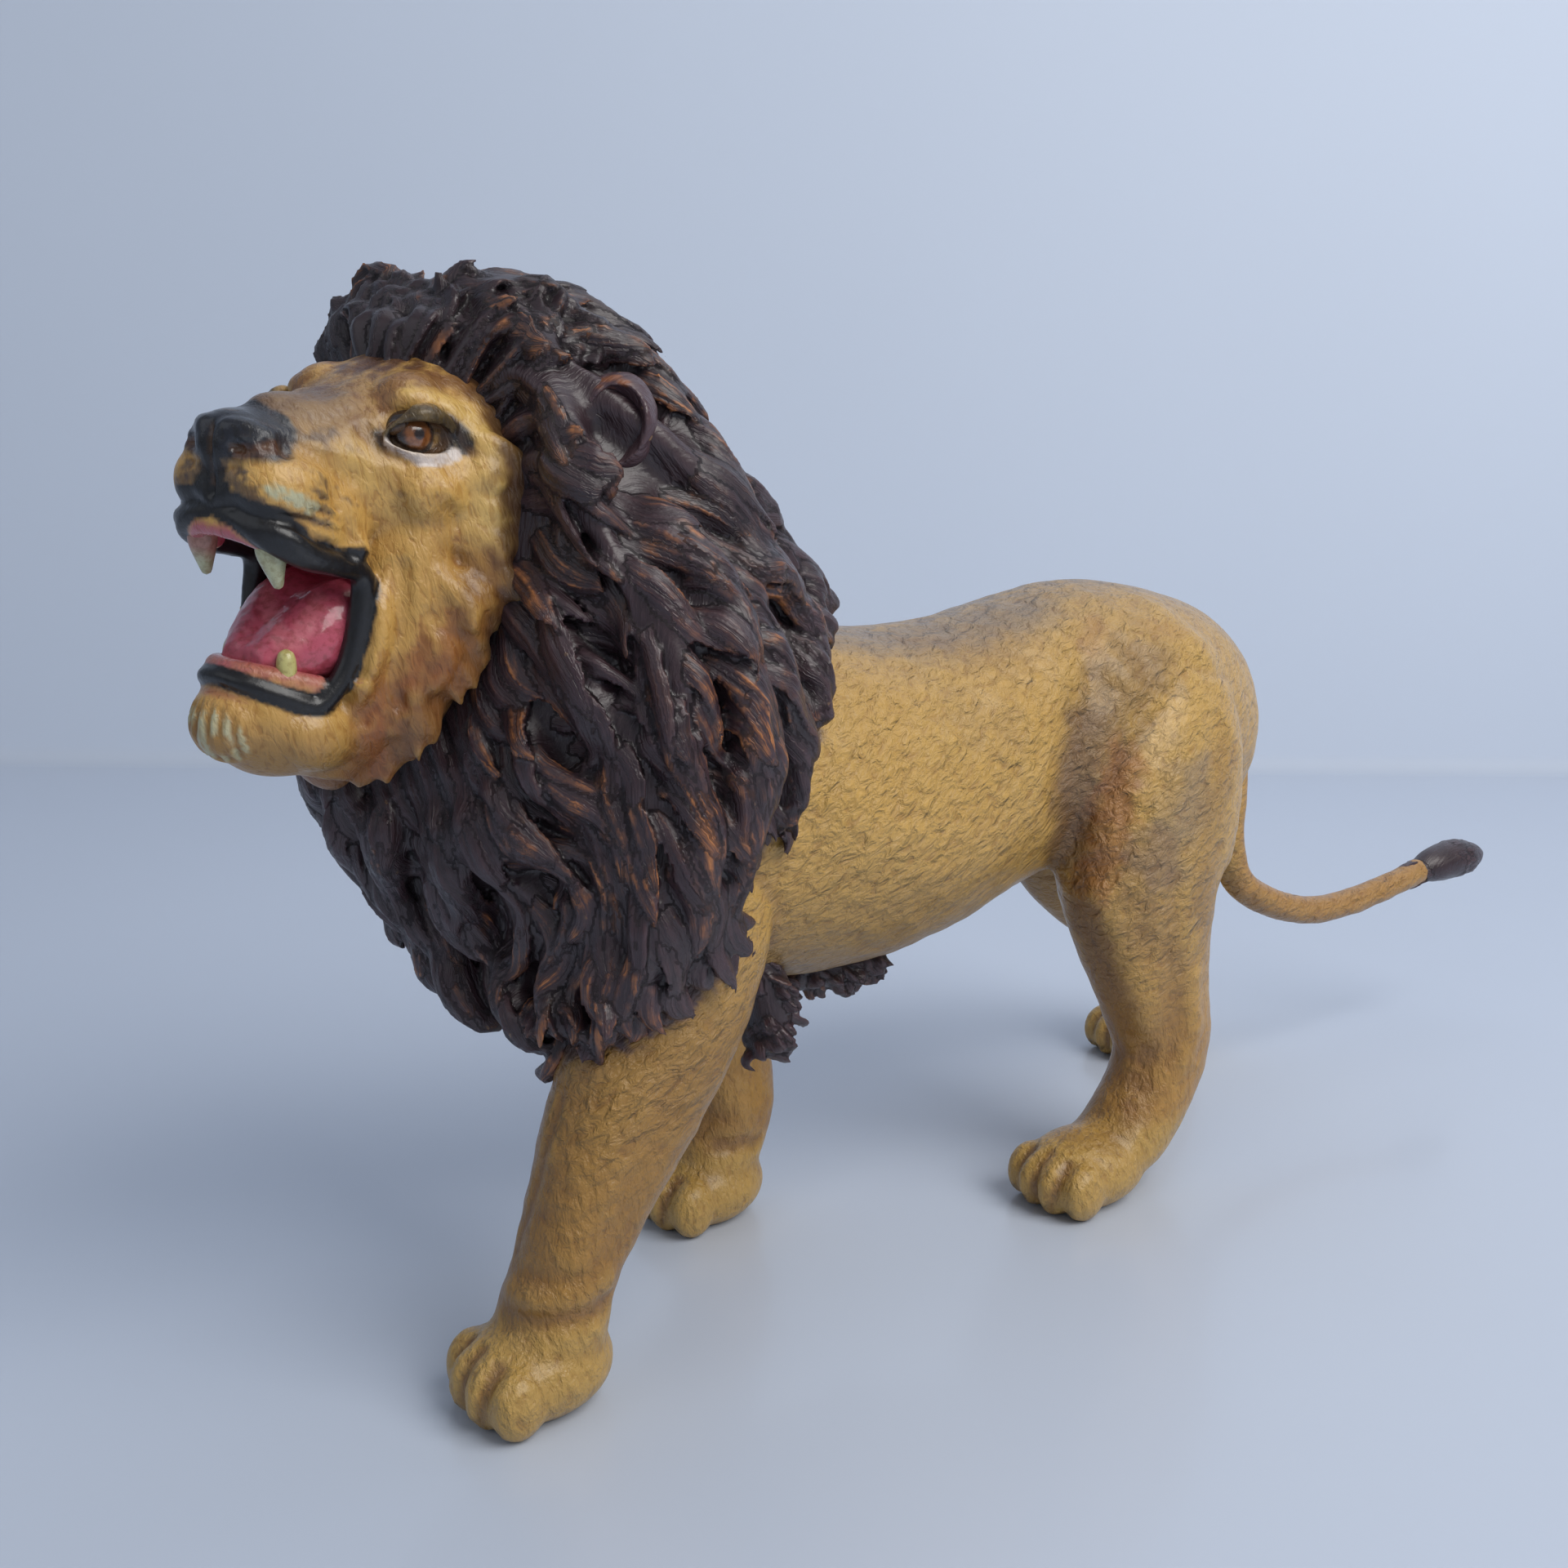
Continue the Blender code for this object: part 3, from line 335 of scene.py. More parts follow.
def noise(points, scale=1.0):
    """Smooth noise, about -1 to 1, with features of a given size."""
    points = np.asarray(points, float) / scale
    cell = np.floor(points).astype(int)
    part = points - cell
    ease = part ** 3 * (part * (part * 6 - 15) + 10)
    total = 0
    for corner in np.ndindex(2, 2, 2):
        corner = np.array(corner)
        place = (cell + corner) & 255
        pick = SCRAMBLE[(SCRAMBLE[(SCRAMBLE[place[:, 0]] + place[:, 1]) & 255] + place[:, 2]) & 255]
        value = ((part - corner) * GRADIENTS[pick]).sum(axis=1)
        weight = np.where(corner, ease, 1 - ease).prod(axis=1)
        total = total + value * weight
    return total * 1.6


def ramp(value, low, high):
    """0 at low and 1 at high, and held beyond both. low may be the larger of the two."""
    return np.clip((value - low) / (high - low), 0, 1)


# sculpting and painting
class Skin:
    """A mesh under the sculptor's hands, and the paint on it."""

    def __init__(self, made, colour):
        self.made = made
        mesh = made.data
        flat = np.empty(len(mesh.vertices) * 3)
        mesh.vertices.foreach_get("co", flat)
        self.points = flat.reshape(-1, 3)
        edges = np.empty(len(mesh.edges) * 2, dtype=np.int32)
        mesh.edges.foreach_get("vertices", edges)
        self.edges = edges.reshape(-1, 2)
        self.degree = np.bincount(self.edges.ravel(), minlength=len(self.points))[:, None]
        self.colour = np.tile(np.array(colour, float), (len(self.points), 1))
        self.gloss = np.zeros(len(self.points))
        self.refresh()

    def refresh(self):
        """Normals that follow the points."""
        mesh = self.made.data
        mesh.vertices.foreach_set("co", self.points.ravel())
        mesh.update()
        flat = np.empty(len(mesh.vertices) * 3)
        mesh.vertex_normals.foreach_get("vector", flat)
        self.normals = flat.reshape(-1, 3)

    def blur(self, values, times):
        """Averages values over neighbours."""
        values = values.reshape(len(self.points), -1)
        for _ in range(times):
            total = np.zeros_like(values)
            first, second = self.edges.T
            for column in range(values.shape[1]):
                total[:, column] += np.bincount(first, values[second, column], len(values))
                total[:, column] += np.bincount(second, values[first, column], len(values))
            values = total / np.maximum(self.degree, 1)
        return values

    def weight(self, path, radius, wobble=0.0, grain=1.0):
        """1 on a path, falling to 0 at its radius."""
        path = np.atleast_2d(np.asarray(path, float))
        reach = np.broadcast_to(np.asarray(radius, float), (len(path),))
        widest = reach.max() * (1 + wobble)
        near = ((self.points > path.min(axis=0) - widest)
                & (self.points < path.max(axis=0) + widest)).all(axis=1)
        index = np.flatnonzero(near)
        result = np.zeros(len(self.points))
        if not len(index):
            return result
        points = self.points[index]
        best = np.full(len(index), 9.0)
        if len(path) == 1:
            best = np.linalg.norm(points - path[0], axis=1) / reach[0]
        for step in range(len(path) - 1):
            start, run = path[step], path[step + 1] - path[step]
            share = np.clip((points - start) @ run / max(run @ run, 1e-9), 0, 1)
            gap = np.linalg.norm(points - start - share[:, None] * run, axis=1)
            best = np.minimum(best, gap / (reach[step] * (1 - share) + reach[step + 1] * share))
        if wobble:
            best = best + wobble * noise(points, grain)
        result[index] = np.clip(1 - best ** 2, 0, 1) ** 2
        return result

    def push(self, path, radius, height):
        """Raises (or lowers) the skin along a path."""
        self.points += self.normals * (self.weight(path, radius) * height)[:, None]

    def tint(self, path, radius, colour, strength=1.0, wobble=0.25, grain=0.8, hard=2.0):
        """Brushes paint along a path; a harder brush has a sharper edge."""
        amount = np.clip(self.weight(path, radius, wobble, grain) * hard, 0, 1) * strength
        self.wash(amount, colour)

    def wash(self, amount, colour):
        self.colour += (np.array(colour, float) - self.colour) * np.clip(amount, 0, 1)[:, None]

    def shine(self, path, radius, value=1.0, hard=3.0):
        self.gloss = np.maximum(self.gloss, np.clip(self.weight(path, radius) * hard, 0, 1) * value)

    def cavity(self, spread):
        """Positive where the skin is hollow at a scale, negative on ridges, in millimetres."""
        smooth = self.blur(self.points, spread)
        return ((smooth - self.points) * self.normals).sum(axis=1)

    def finish(self, extra=None):
        """Writes the paint to the mesh and takes it to metres in the CAD's frame."""
        self.refresh()
        mesh = self.made.data
        colours = np.hstack((np.clip(self.colour, 0, 1), np.ones((len(self.points), 1))))
        layer = mesh.color_attributes.new("paint", "FLOAT_COLOR", "POINT")
        layer.data.foreach_set("color", colours.ravel())
        values = {"gloss": self.gloss, **(extra or {})}
        for name, value in values.items():
            kind, key = ("FLOAT_VECTOR", "vector") if value.ndim == 2 else ("FLOAT", "value")
            mesh.attributes.new(name, kind, "POINT").data.foreach_set(key, value.ravel())
        to_metres(self.made)
        return self.made


def to_metres(made):
    mesh = made.data
    flat = np.empty(len(mesh.vertices) * 3)
    mesh.vertices.foreach_get("co", flat)
    points = (flat.reshape(-1, 3) + SHIFT) * MM
    mesh.vertices.foreach_set("co", points.ravel())
    mesh.shade_smooth()
    mesh.update()


# the photograph's camera (mm)
CAMERA_AT = np.array((139.7, -114.5, 88.5))
CAMERA_YAW, CAMERA_PITCH, CAMERA_ROLL = (math.radians(angle) for angle in (143.56, 11.13, -0.38))
FOCAL_PIXELS = 1932.0
PHOTO_PIXELS = 1920.0
SENSOR_WIDTH = 36.0


def camera_axes():
    """Right, down and forward directions of the camera."""
    forward = np.array((math.cos(CAMERA_YAW) * math.cos(CAMERA_PITCH),
                        math.sin(CAMERA_YAW) * math.cos(CAMERA_PITCH), -math.sin(CAMERA_PITCH)))
    right = np.array((math.sin(CAMERA_YAW), -math.cos(CAMERA_YAW), 0))
    down = -np.cross(right, forward)
    turned_right = math.cos(CAMERA_ROLL) * right + math.sin(CAMERA_ROLL) * down
    turned_down = math.cos(CAMERA_ROLL) * down - math.sin(CAMERA_ROLL) * right
    return turned_right, turned_down, forward


RIGHT, DOWN, AHEAD = camera_axes()


def tree_of(points, made):
    faces = [tuple(face.vertices) for face in made.data.polygons]
    return BVHTree.FromPolygons(points.tolist(), faces)


def seen(tree, pixels):
    """Where the photograph's pixels fall on a surface, in the sculptor's frame."""
    found = []
    for across, below in pixels:
        ray = (AHEAD + RIGHT * (across - PHOTO_PIXELS / 2) / FOCAL_PIXELS
               + DOWN * (below - PHOTO_PIXELS / 2) / FOCAL_PIXELS)
        hit = tree.ray_cast(Vector(CAMERA_AT), Vector(ray))[0]
        if hit is not None:
            found.append(hit[:])
    return np.array(found)


def snapped(tree, points):
    return np.array([tree.find_nearest(Vector(point))[0][:] for point in points])


def other_side(points):
    """The same places on the lion's right."""
    return np.asarray(points) * (-1, 1, 1)


# paints (linear colours)
TAN = (0.56, 0.325, 0.075)
PALE_TAN = (0.64, 0.41, 0.12)
HIGHLIGHT_TAN = (0.76, 0.50, 0.165)
PAW_TAN = (0.50, 0.31, 0.08)
TAIL_TAN = (0.40, 0.19, 0.045)
LEG_TAN = (0.38, 0.185, 0.036)
ARM_SHADE_TAN = (0.31, 0.155, 0.028)
FACE_TAN = (0.58, 0.325, 0.085)
BRIDGE_TAN = (0.105, 0.064, 0.05)
AMBER = (0.42, 0.18, 0.04)
RUST = (0.28, 0.088, 0.022)
BROWN = (0.19, 0.085, 0.027)
CHEEK_SHADE_BROWN = (0.35, 0.165, 0.038)
STROKE_BROWN = (0.17, 0.065, 0.022)
FOREHEAD_BROWN = (0.10, 0.035, 0.015)
HAIRLINE_BROWN = (0.10, 0.042, 0.020)
SOCKET_SHADE_BROWN = (0.07, 0.028, 0.014)
NOSTRIL_BROWN = (0.085, 0.033, 0.015)
GUM_BROWN = (0.24, 0.09, 0.04)
BORDER_BROWN = (0.06, 0.026, 0.018)
PURPLE_WASH_AND_SHADE = (0.18, 0.10, 0.052)
COOL_WASH = (0.19, 0.15, 0.13)
MURK = (0.075, 0.05, 0.045)
MANE_DARK = (0.029, 0.0155, 0.0195)
MANE_MID = (0.076, 0.039, 0.046)
MANE_DEEP = (0.010, 0.006, 0.009)
LIP_BLACK = (0.008, 0.0075, 0.009)
NOSE_BLACK = (0.018, 0.019, 0.026)
CRIMSON = (0.50, 0.075, 0.115)
THROAT_RED = (0.20, 0.010, 0.020)
LIP_RED = (0.34, 0.10, 0.075)
PINK = (0.50, 0.13, 0.15)
TONGUE_PINK = (0.50, 0.085, 0.13)
TONGUE_HIGHLIGHT_PINK = (0.62, 0.17, 0.20)
CREAM = (0.50, 0.50, 0.33)
LID_WHITE = (0.66, 0.58, 0.54)
IVORY = (0.52, 0.53, 0.33)
TOOTH_ROOT = (0.35, 0.13, 0.09)
FAR_TOOTH_ROOT = (0.40, 0.12, 0.12)
TOOTH_STAIN = (0.42, 0.36, 0.14)
NUB_YELLOW = (0.56, 0.48, 0.13)
EYE_DARK = (0.03, 0.018, 0.014)
IRIS_BROWN = (0.24, 0.085, 0.025)
PUPIL_BLACK = (0.02, 0.010, 0.008)


# the coat
TOES = (-0.74, -0.26, 0.26, 0.74)
TOE_GAPS = (-0.49, 0.0, 0.49)
# a groove between toes: across in paw widths, ahead in paw lengths, and up (mm)
TOE_GROOVE = ((0.92, 0.66, 6.6), (1.00, 0.86, 5.2), (1.05, 1.0, 3.2), (1.05, 1.06, 0.6))
FUR_WAVES = ((2.3, 0.10), (4.5, 0.12))
MANE_REACH = 7.0

# folds of both flanks: places in the photograph (pixels), radius and height (mm)
FLANK_FOLDS = (
    (((1345, 850), (1320, 900), (1308, 960), (1312, 1020), (1318, 1050)), 5.5, -0.9),
    (((1375, 830), (1352, 880), (1340, 950), (1345, 1030)), 4.0, 0.5),
    (((1430, 800), (1440, 880), (1425, 960)), 8.0, 0.5),
    (((1340, 760), (1330, 800)), 4.5, -0.35),
    (((1420, 745), (1470, 800)), 4.0, 0.35),
    (((1490, 900), (1470, 980), (1440, 1060)), 4.0, -0.3),
    (((1060, 1010), (1130, 1060), (1210, 1050)), 7.0, 0.35),
    (((1120, 830), (1110, 900), (1090, 970)), 5.0, -0.22),
    (((1180, 830), (1175, 910), (1160, 980)), 5.0, -0.2),
)
# the same for single legs
LEG_FOLDS = (
    # Near hind leg: knee, hock and shin
    (((1345, 1100), (1380, 1180), (1400, 1250)), 3.2, 0.45),
    (((1440, 1080), (1435, 1180), (1440, 1250)), 2.6, -0.4),
    (((1462, 1200), (1462, 1260), (1450, 1300)), 2.6, 0.4),
    (((1405, 1290), (1395, 1330)), 2.2, -0.35),
    # Near front leg: the long muscle, the wrist's fold and the edge of the mould
    (((760, 1330), (720, 1440), (690, 1540)), 4.2, 0.45),
    (((830, 1330), (790, 1430), (755, 1520)), 3.0, -0.25),
    (((622, 1612), (655, 1622), (700, 1618), (740, 1600)), 1.9, -0.50),
    (((625, 1580), (660, 1592), (705, 1590), (742, 1570)), 2.2, 0.40),
    (((686, 1345), (668, 1410), (648, 1480), (632, 1530)), 0.9, -0.28),
    # Far front paw: its heel
    (((880, 1405), (905, 1402), (925, 1400)), 1.8, -0.55),
    (((900, 1340), (905, 1370)), 3.5, 0.5),
)
# paint on both flanks: pixels, radius (mm), paint, strength, raggedness and its grain (mm)
FLANK_HARDNESS = 1.2
FLANK_PAINT = (
    # Spine
    (((1010, 775), (1110, 785), (1200, 765), (1260, 745)), 5.5, COOL_WASH, 0.55, 0.3, 2.0),
    (((1130, 790), (1190, 800), (1240, 785)), 4.0, BROWN, 0.22, 0.6, 1.6),
    # Flank fold, groin and thigh: a purple wash in the fold, deepened as painted shade, rust in the groin,
    # and painted shade along the thigh's rear edge
    # the fold's wash, partly painted shade in the crease
    (((1395, 815), (1365, 860), (1335, 915), (1315, 975)), 8.0, PURPLE_WASH_AND_SHADE, 0.55, 0.35, 2.5),
    (((1335, 890), (1320, 950), (1312, 1010), (1318, 1045)), 5.0, PURPLE_WASH_AND_SHADE, 0.62, 0.3, 2.0),
    (((1372, 935), (1362, 1000), (1350, 1050), (1338, 1080)), 4.4, RUST, 0.65, 0.4, 1.6),
    (((1345, 765), (1335, 790)), 2.6, RUST, 0.30, 0.3, 2.0),
    (((1410, 770), (1445, 775)), 2.0, RUST, 0.18, 0.6, 1.2),
    (((1465, 960), (1440, 1010), (1425, 1050)), 7.0, COOL_WASH, 0.50, 0.4, 2.5),
    (((1410, 1050), (1405, 1100), (1415, 1160)), 5.5, BROWN, 0.36, 0.4, 2.5),
    # painted shade along the thigh's rear edge
    (((1505, 930), (1488, 1010), (1475, 1090), (1478, 1180)), 4.5, BROWN, 0.35, 0.4, 2.0),
    (((1180, 880), (1230, 900)), 5.0, COOL_WASH, 0.12, 0.8, 1.5),
)
LEG_PAINT = (
    # Near hind leg
    (((1320, 1090), (1340, 1160), (1370, 1240), (1375, 1300)), 3.2, BROWN, 0.72, 0.4, 2),
    (((1440, 1180), (1435, 1240), (1425, 1290)), 3.4, PURPLE_WASH_AND_SHADE, 0.45, 0.4, 2),
    (((1383, 1352), (1386, 1368)), 1.3, RUST, 0.6, 0.5, 0.6),
    (((1400, 1330), (1420, 1350)), 3.0, BROWN, 0.3, 0.4, 1.5),
    # Near front leg: rust along its front edge on the mould's line, painted shade along its rear edge, rusty
    # wrist
    (((695, 1330), (668, 1405), (645, 1480), (620, 1560)), 1.1, RUST, 0.55, 0.4, 0.8),
    # painted shade along the leg's rear edge
    (((860, 1330), (810, 1430), (765, 1520), (745, 1580)), 3.8, PURPLE_WASH_AND_SHADE, 0.45, 0.4, 2),
    (((618, 1600), (650, 1618), (700, 1614), (745, 1595)), 2.4, RUST, 0.55, 0.6, 0.9),
    (((650, 1600), (690, 1605)), 1.6, RUST, 0.5, 0.9, 0.5),
    (((720, 1560), (735, 1540)), 1.4, BROWN, 0.5, 0.9, 0.5),
    # Far front paw
    (((880, 1404), (905, 1402), (925, 1400)), 1.4, BROWN, 0.55, 0.4, 0.8),
)


def paw_forms(name):
    x, y, length, width = PAWS[name]
    middle = np.array((x, y, 4.0))
    forms = [ball(middle, (width, length, 4.9))]
    for across in TOES:
        reach = (0.72 - 0.30 * across ** 2) * length
        toe = middle + np.array((across * width, -reach, -0.6))
        forms.append(ball(toe, (0.31 * width, 0.36 * length, 3.5)))
    return forms


def toe_grooves(name):
    """The grooves between a paw's toes, from their tops to the sole."""
    x, y, length, width = PAWS[name]
    return [[(x + gap * width * across, y - length * ahead, up) for across, ahead, up in TOE_GROOVE]
            for gap in TOE_GAPS]


def coat_forms():
    forms = [trunk_form(6)]
    for name, rows in LEGS.items():
        forms.append(limb(rows))
        x, y, z, wide, deep = rows[0]
        forms.append(ball((x * 0.92, y, z - 0.5), (wide * 0.97, deep * 0.97, 8.5)))
        forms += paw_forms(name)
    forms.append(tube([row[:3] for row in TAIL[:11]], [row[3] for row in TAIL[:11]], 5, 24))
    return forms


def make_coat():
    return Skin(melted(made_object("coat", coat_forms()), BODY_VOXEL, 6), TAN)


def sculpt_coat(skin):
    """Muscles, folds, toes and short fur, before the paint."""
    tree = tree_of(skin.points, skin.made)
    for pixels, radius, height in FLANK_FOLDS:
        path = seen(tree, pixels)
        skin.push(path, radius, height)
        skin.push(snapped(tree, other_side(path)), radius, height)
    for pixels, radius, height in LEG_FOLDS:
        skin.push(seen(tree, pixels), radius, height)
    for name in PAWS:
        for groove in toe_grooves(name):
            skin.push(snapped(tree, groove), 1.1, -0.40)
    skin.refresh()
    skin.points[:, 2] = np.maximum(skin.points[:, 2], 0.0)
    # Wavy short fur, flatter on the paws
    x, y, z = skin.points.T
    lay = np.stack((x, 0.55 * y + 0.35 * z, z + 0.5 * y), axis=-1)
    ripple = sum(noise(lay + 50 * index, size) * height for index, (size, height) in enumerate(FUR_WAVES))
    skin.points += skin.normals * (ripple * (1 - 0.7 * ramp(z, 12, 6)))[:, None]
    skin.points[:, 2] = np.maximum(skin.points[:, 2], 0.0)
    skin.refresh()


def gaps_to(tree, points):
    """How far each point is from a surface, up to MANE_REACH."""
    return np.array([tree.find_nearest(Vector(point), MANE_REACH)[3] or MANE_REACH for point in points])


def paint_coat(skin, mane_tree):
    tree = tree_of(skin.points, skin.made)
    x, y, z = skin.points.T
    top = skin.normals[:, 2]
    cloud = noise(skin.points, 9.0)
    speck = noise(skin.points + 31, 2.2)
    skin.wash(np.clip(0.35 + 0.5 * cloud, 0, 1) * 0.35, PALE_TAN)
    # Belly and undersides darker as painted shade, spine and rump airbrushed
    trunk = ramp(z, 30, 36) * ramp(y, 66, 60)
    # painted shade: the lower trunk and belly darker
    skin.wash(trunk * ramp(z - 2.1 * speck, 46, 32) * 0.42, PURPLE_WASH_AND_SHADE)
    # painted shade on every surface that faces down
    skin.wash(np.clip(-top * 1.2, 0, 1) * 0.35, BROWN)
    spine = np.exp(-(x / 8.0) ** 2) * np.clip(top * 1.6, 0, 1) * ramp(y, -30, -18)
    skin.wash(spine * (0.62 + 0.3 * speck), COOL_WASH)
    for pixels, *brush in FLANK_PAINT:
        path = seen(tree, pixels)
        skin.tint(path, *brush, FLANK_HARDNESS)
        skin.tint(snapped(tree, other_side(path)), *brush, FLANK_HARDNESS)
    for pixels, *brush in LEG_PAINT:
        skin.tint(seen(tree, pixels), *brush)
    # Legs warmer below; the near front leg darker as painted shade, and brown along the legs' fronts and
    # backs as painted shade
    skin.wash(ramp(z, 34, 20) * ramp(y, 66, 63) * 0.75, LEG_TAN)
    # painted shade: the near front leg darker all over
    skin.wash(ramp(z, 48, 34) * ramp(y, -22, -28) * ramp(x, 3, 4) * 0.80, ARM_SHADE_TAN)
    # painted shade on leg surfaces that face ahead or behind
    fore_and_aft_shade = ramp(np.abs(skin.normals[:, 1]), 0.50, 0.90) * ramp(z, 40, 30)
    skin.wash(fore_and_aft_shade * ramp(y, 64, 61) * (0.36 + 0.2 * speck), BROWN)
    # Every paw: paler on top, brown between the toes and round the sole, and dark claws
    paws = ramp(z, 11, 8)
    skin.wash(paws * 0.75, PAW_TAN)
    for name, (px, py, length, width) in PAWS.items():
        wrist = [(px + width * math.cos(turn), py + 2.5 + width * 0.9 * math.sin(turn), 12.6)
                 for turn in np.linspace(0, 2 * math.pi, 13)]
        if name != "front_left":
            skin.tint(snapped(tree, wrist), 2.4, BROWN, 0.30, 0.7, 1.2)
        for groove in toe_grooves(name):
            skin.tint(snapped(tree, groove), 1.0, BROWN, 0.45, 0.4, 1.0)
        for across in TOES:
            claw = [(px + across * width, py - length * (1.08 - 0.30 * across ** 2), 1.1)]
            skin.tint(snapped(tree, claw), 0.8, LIP_BLACK, 0.6, 0.3, 0.6)
    skin.wash(ramp(z - 0.24 * speck, 1.2, 0) * paws * 0.5, BROWN)
    # The tail warms towards its tuft, with painted shade on its underside
    tail = ramp(y, 66, 69) * ramp(x, -8, -5) * ramp(z, 19, 21)
    skin.wash(tail * 0.85, TAIL_TAN)
    # painted shade on the tail's underside
    skin.wash(tail * np.clip(-top, 0, 1) * 0.4, BROWN)
    # Dark brown where the mane's edge was painted, with a ragged rim
    gap = gaps_to(mane_tree, skin.points)
    rim = np.clip((1.6 + 1.3 * speck + 0.8 * noise(skin.points + 9, 0.9) - gap) * 2.0, 0, 1)
    skin.wash(rim, MANE_MID)
    skin.wash(np.clip((2.8 + 1.8 * speck - gap) * 0.6, 0, 1) * (1 - rim) * 0.35, BROWN)
    # Washes that settle in hollows, and a dry brush over ridges
    hollow = skin.cavity(2)
    broad = skin.cavity(14)
    skin.wash(np.clip(hollow * 9, 0, 1) * 0.5, BROWN)
    skin.wash(np.clip(broad * 1.6, 0, 1) * 0.35, PURPLE_WASH_AND_SHADE)
    skin.wash(np.clip(-hollow * 8, 0, 1) * 0.25, PALE_TAN)
    skin.gloss = np.maximum(skin.gloss, np.clip(noise(skin.points + 77, 5) - 0.25, 0, 1) * 0.5)
    return {"legs": ramp(z, 30, 18) * (1 - tail)}


# the face
# the lips: forward, left, up, and half the width of the black band
LIP_ROWS = (
    (17.5, 0, -4.4, 0.9), (17.6, 2.6, -4.9, 0.9), (16.9, 4.7, -5.9, 1.1), (15.3, 6.1, -6.7, 1.3),
    (12.6, 6.9, -7.2, 1.5), (9.4, 7.2, -7.1, 1.5), (7.2, 7.3, -7.1, 1.5), (6.1, 7.4, -8.6, 1.6),
    (5.8, 7.4, -11.0, 1.7), (5.8, 7.2, -14.0, 1.6), (6.2, 6.9, -16.8, 1.5), (7.3, 6.5, -19.2, 1.5),
    (8.6, 6.0, -20.5, 1.4), (10.8, 5.2, -20.1, 1.3), (13.0, 3.8, -19.6, 1.2), (14.4, 2.0, -19.2, 1.1),
    (14.8, 0, -19.0, 1.0),
)
LIP = tuple(row[:3] for row in LIP_ROWS)
LIP_WIDTHS = np.array([row[3] for row in LIP_ROWS])
LIP_INWARD = 0.75
# the upper lip's roll: forward, left, up, half its painted width, and its radius
ROLL_ROWS = (
    (18.0, 0, -4.2, 1.5, 0.5), (17.8, 2.6, -4.4, 1.6, 0.6), (17.2, 4.9, -5.0, 1.9, 0.8),
    (15.7, 6.6, -5.4, 2.1, 1.05), (13.0, 7.4, -6.6, 1.9, 1.1), (9.8, 7.7, -6.9, 1.7, 1.05),
    (7.4, 7.8, -7.0, 1.6, 1.0), (5.6, 8.0, -8.0, 0.8, 0.8),
)
ROLL = tuple(row[:3] for row in ROLL_ROWS)
ROLL_WIDTHS = np.array([row[3] for row in ROLL_ROWS])
ROLL_RADII = [row[4] for row in ROLL_ROWS]
ROLL_INWARD = 1.2
# balls of clay on the skull: centre and radii, along the middle and then on both sides
MIDDLE_BALLS = (
    ((16.2, 0, 0.8), (2.9, 3.9, 2.9)), ((12.2, 0, -22.4), (3.5, 3.9, 3.6)), ((8.6, 0, 4.2), (6.4, 3.4, 2.1)),
)
SIDE_BALLS = (
    ((13.2, 3.6, -2.4), (4.9, 3.6, 3.7)), ((1.6, 4.9, 6.9), (4.4, 3.3, 3.5)),
    ((10.0, 4.6, -4.0), (5.0, 2.7, 3.2)), ((0.8, 8.3, 0.0), (4.6, 3.0, 3.2)),
    ((16.3, 3.0, 0.3), (1.9, 1.9, 2.0)), ((3.4, 7.2, -14.0), (3.4, 2.0, 6.5)),
    ((7.0, 4.8, -22.5), (4.0, 2.6, 3.2)), ((8.0, 6.3, -5.6), (1.8, 1.3, 1.4)),
)
THROAT_FUR = ((1.5, 0, -23), (0.2, 0, -26), (-0.6, 0, -27.6))
# hollows of the mouth: forward, top, bottom and half width
GAPE = ((5.6, -8.8, -17.0, 17), (7.4, -6.4, -18.6, 17), (30, -6.4, -16.4, 17))
THROAT = (
    (-0.5, -10.5, -14.5, 3.6), (1.2, -9.0, -16.8, 5.4), (3.4, -7.6, -18.0, 6.1), (7, -7.2, -18.4, 6.2),
    (10, -6.8, -18.2, 6.0),
)
MOUTH_FLOOR = ((9, -15.6, -17.9, 4.2), (14.5, -15.6, -18.0, 1.8))
# eyelids and gums: paths and radii
EYELIDS = (
    (((7.3, 7.2, 3.8), (6.2, 8.0, 5.2), (4.4, 8.9, 6.1), (2.2, 9.4, 5.9), (0.0, 9.8, 4.7)),
     (0.35, 0.8, 1.1, 0.95, 0.5)),
    (((7.2, 7.3, 3.5), (5.8, 8.3, 3.1), (3.8, 9.1, 3.1), (1.8, 9.6, 3.7), (0.2, 9.8, 4.5)),
     (0.35, 0.6, 0.75, 0.65, 0.4)),
)
GUMS = (
    (((16.6, 0, -6.0), (16.2, 2.6, -6.2), (14.6, 4.6, -6.8), (12, 5.4, -7.2)), 1.0),
    (((13.4, 0, -17.9), (12.6, 2.4, -17.9), (10.6, 4.2, -18.0), (8.0, 5.2, -18.2)), 1.05),
)
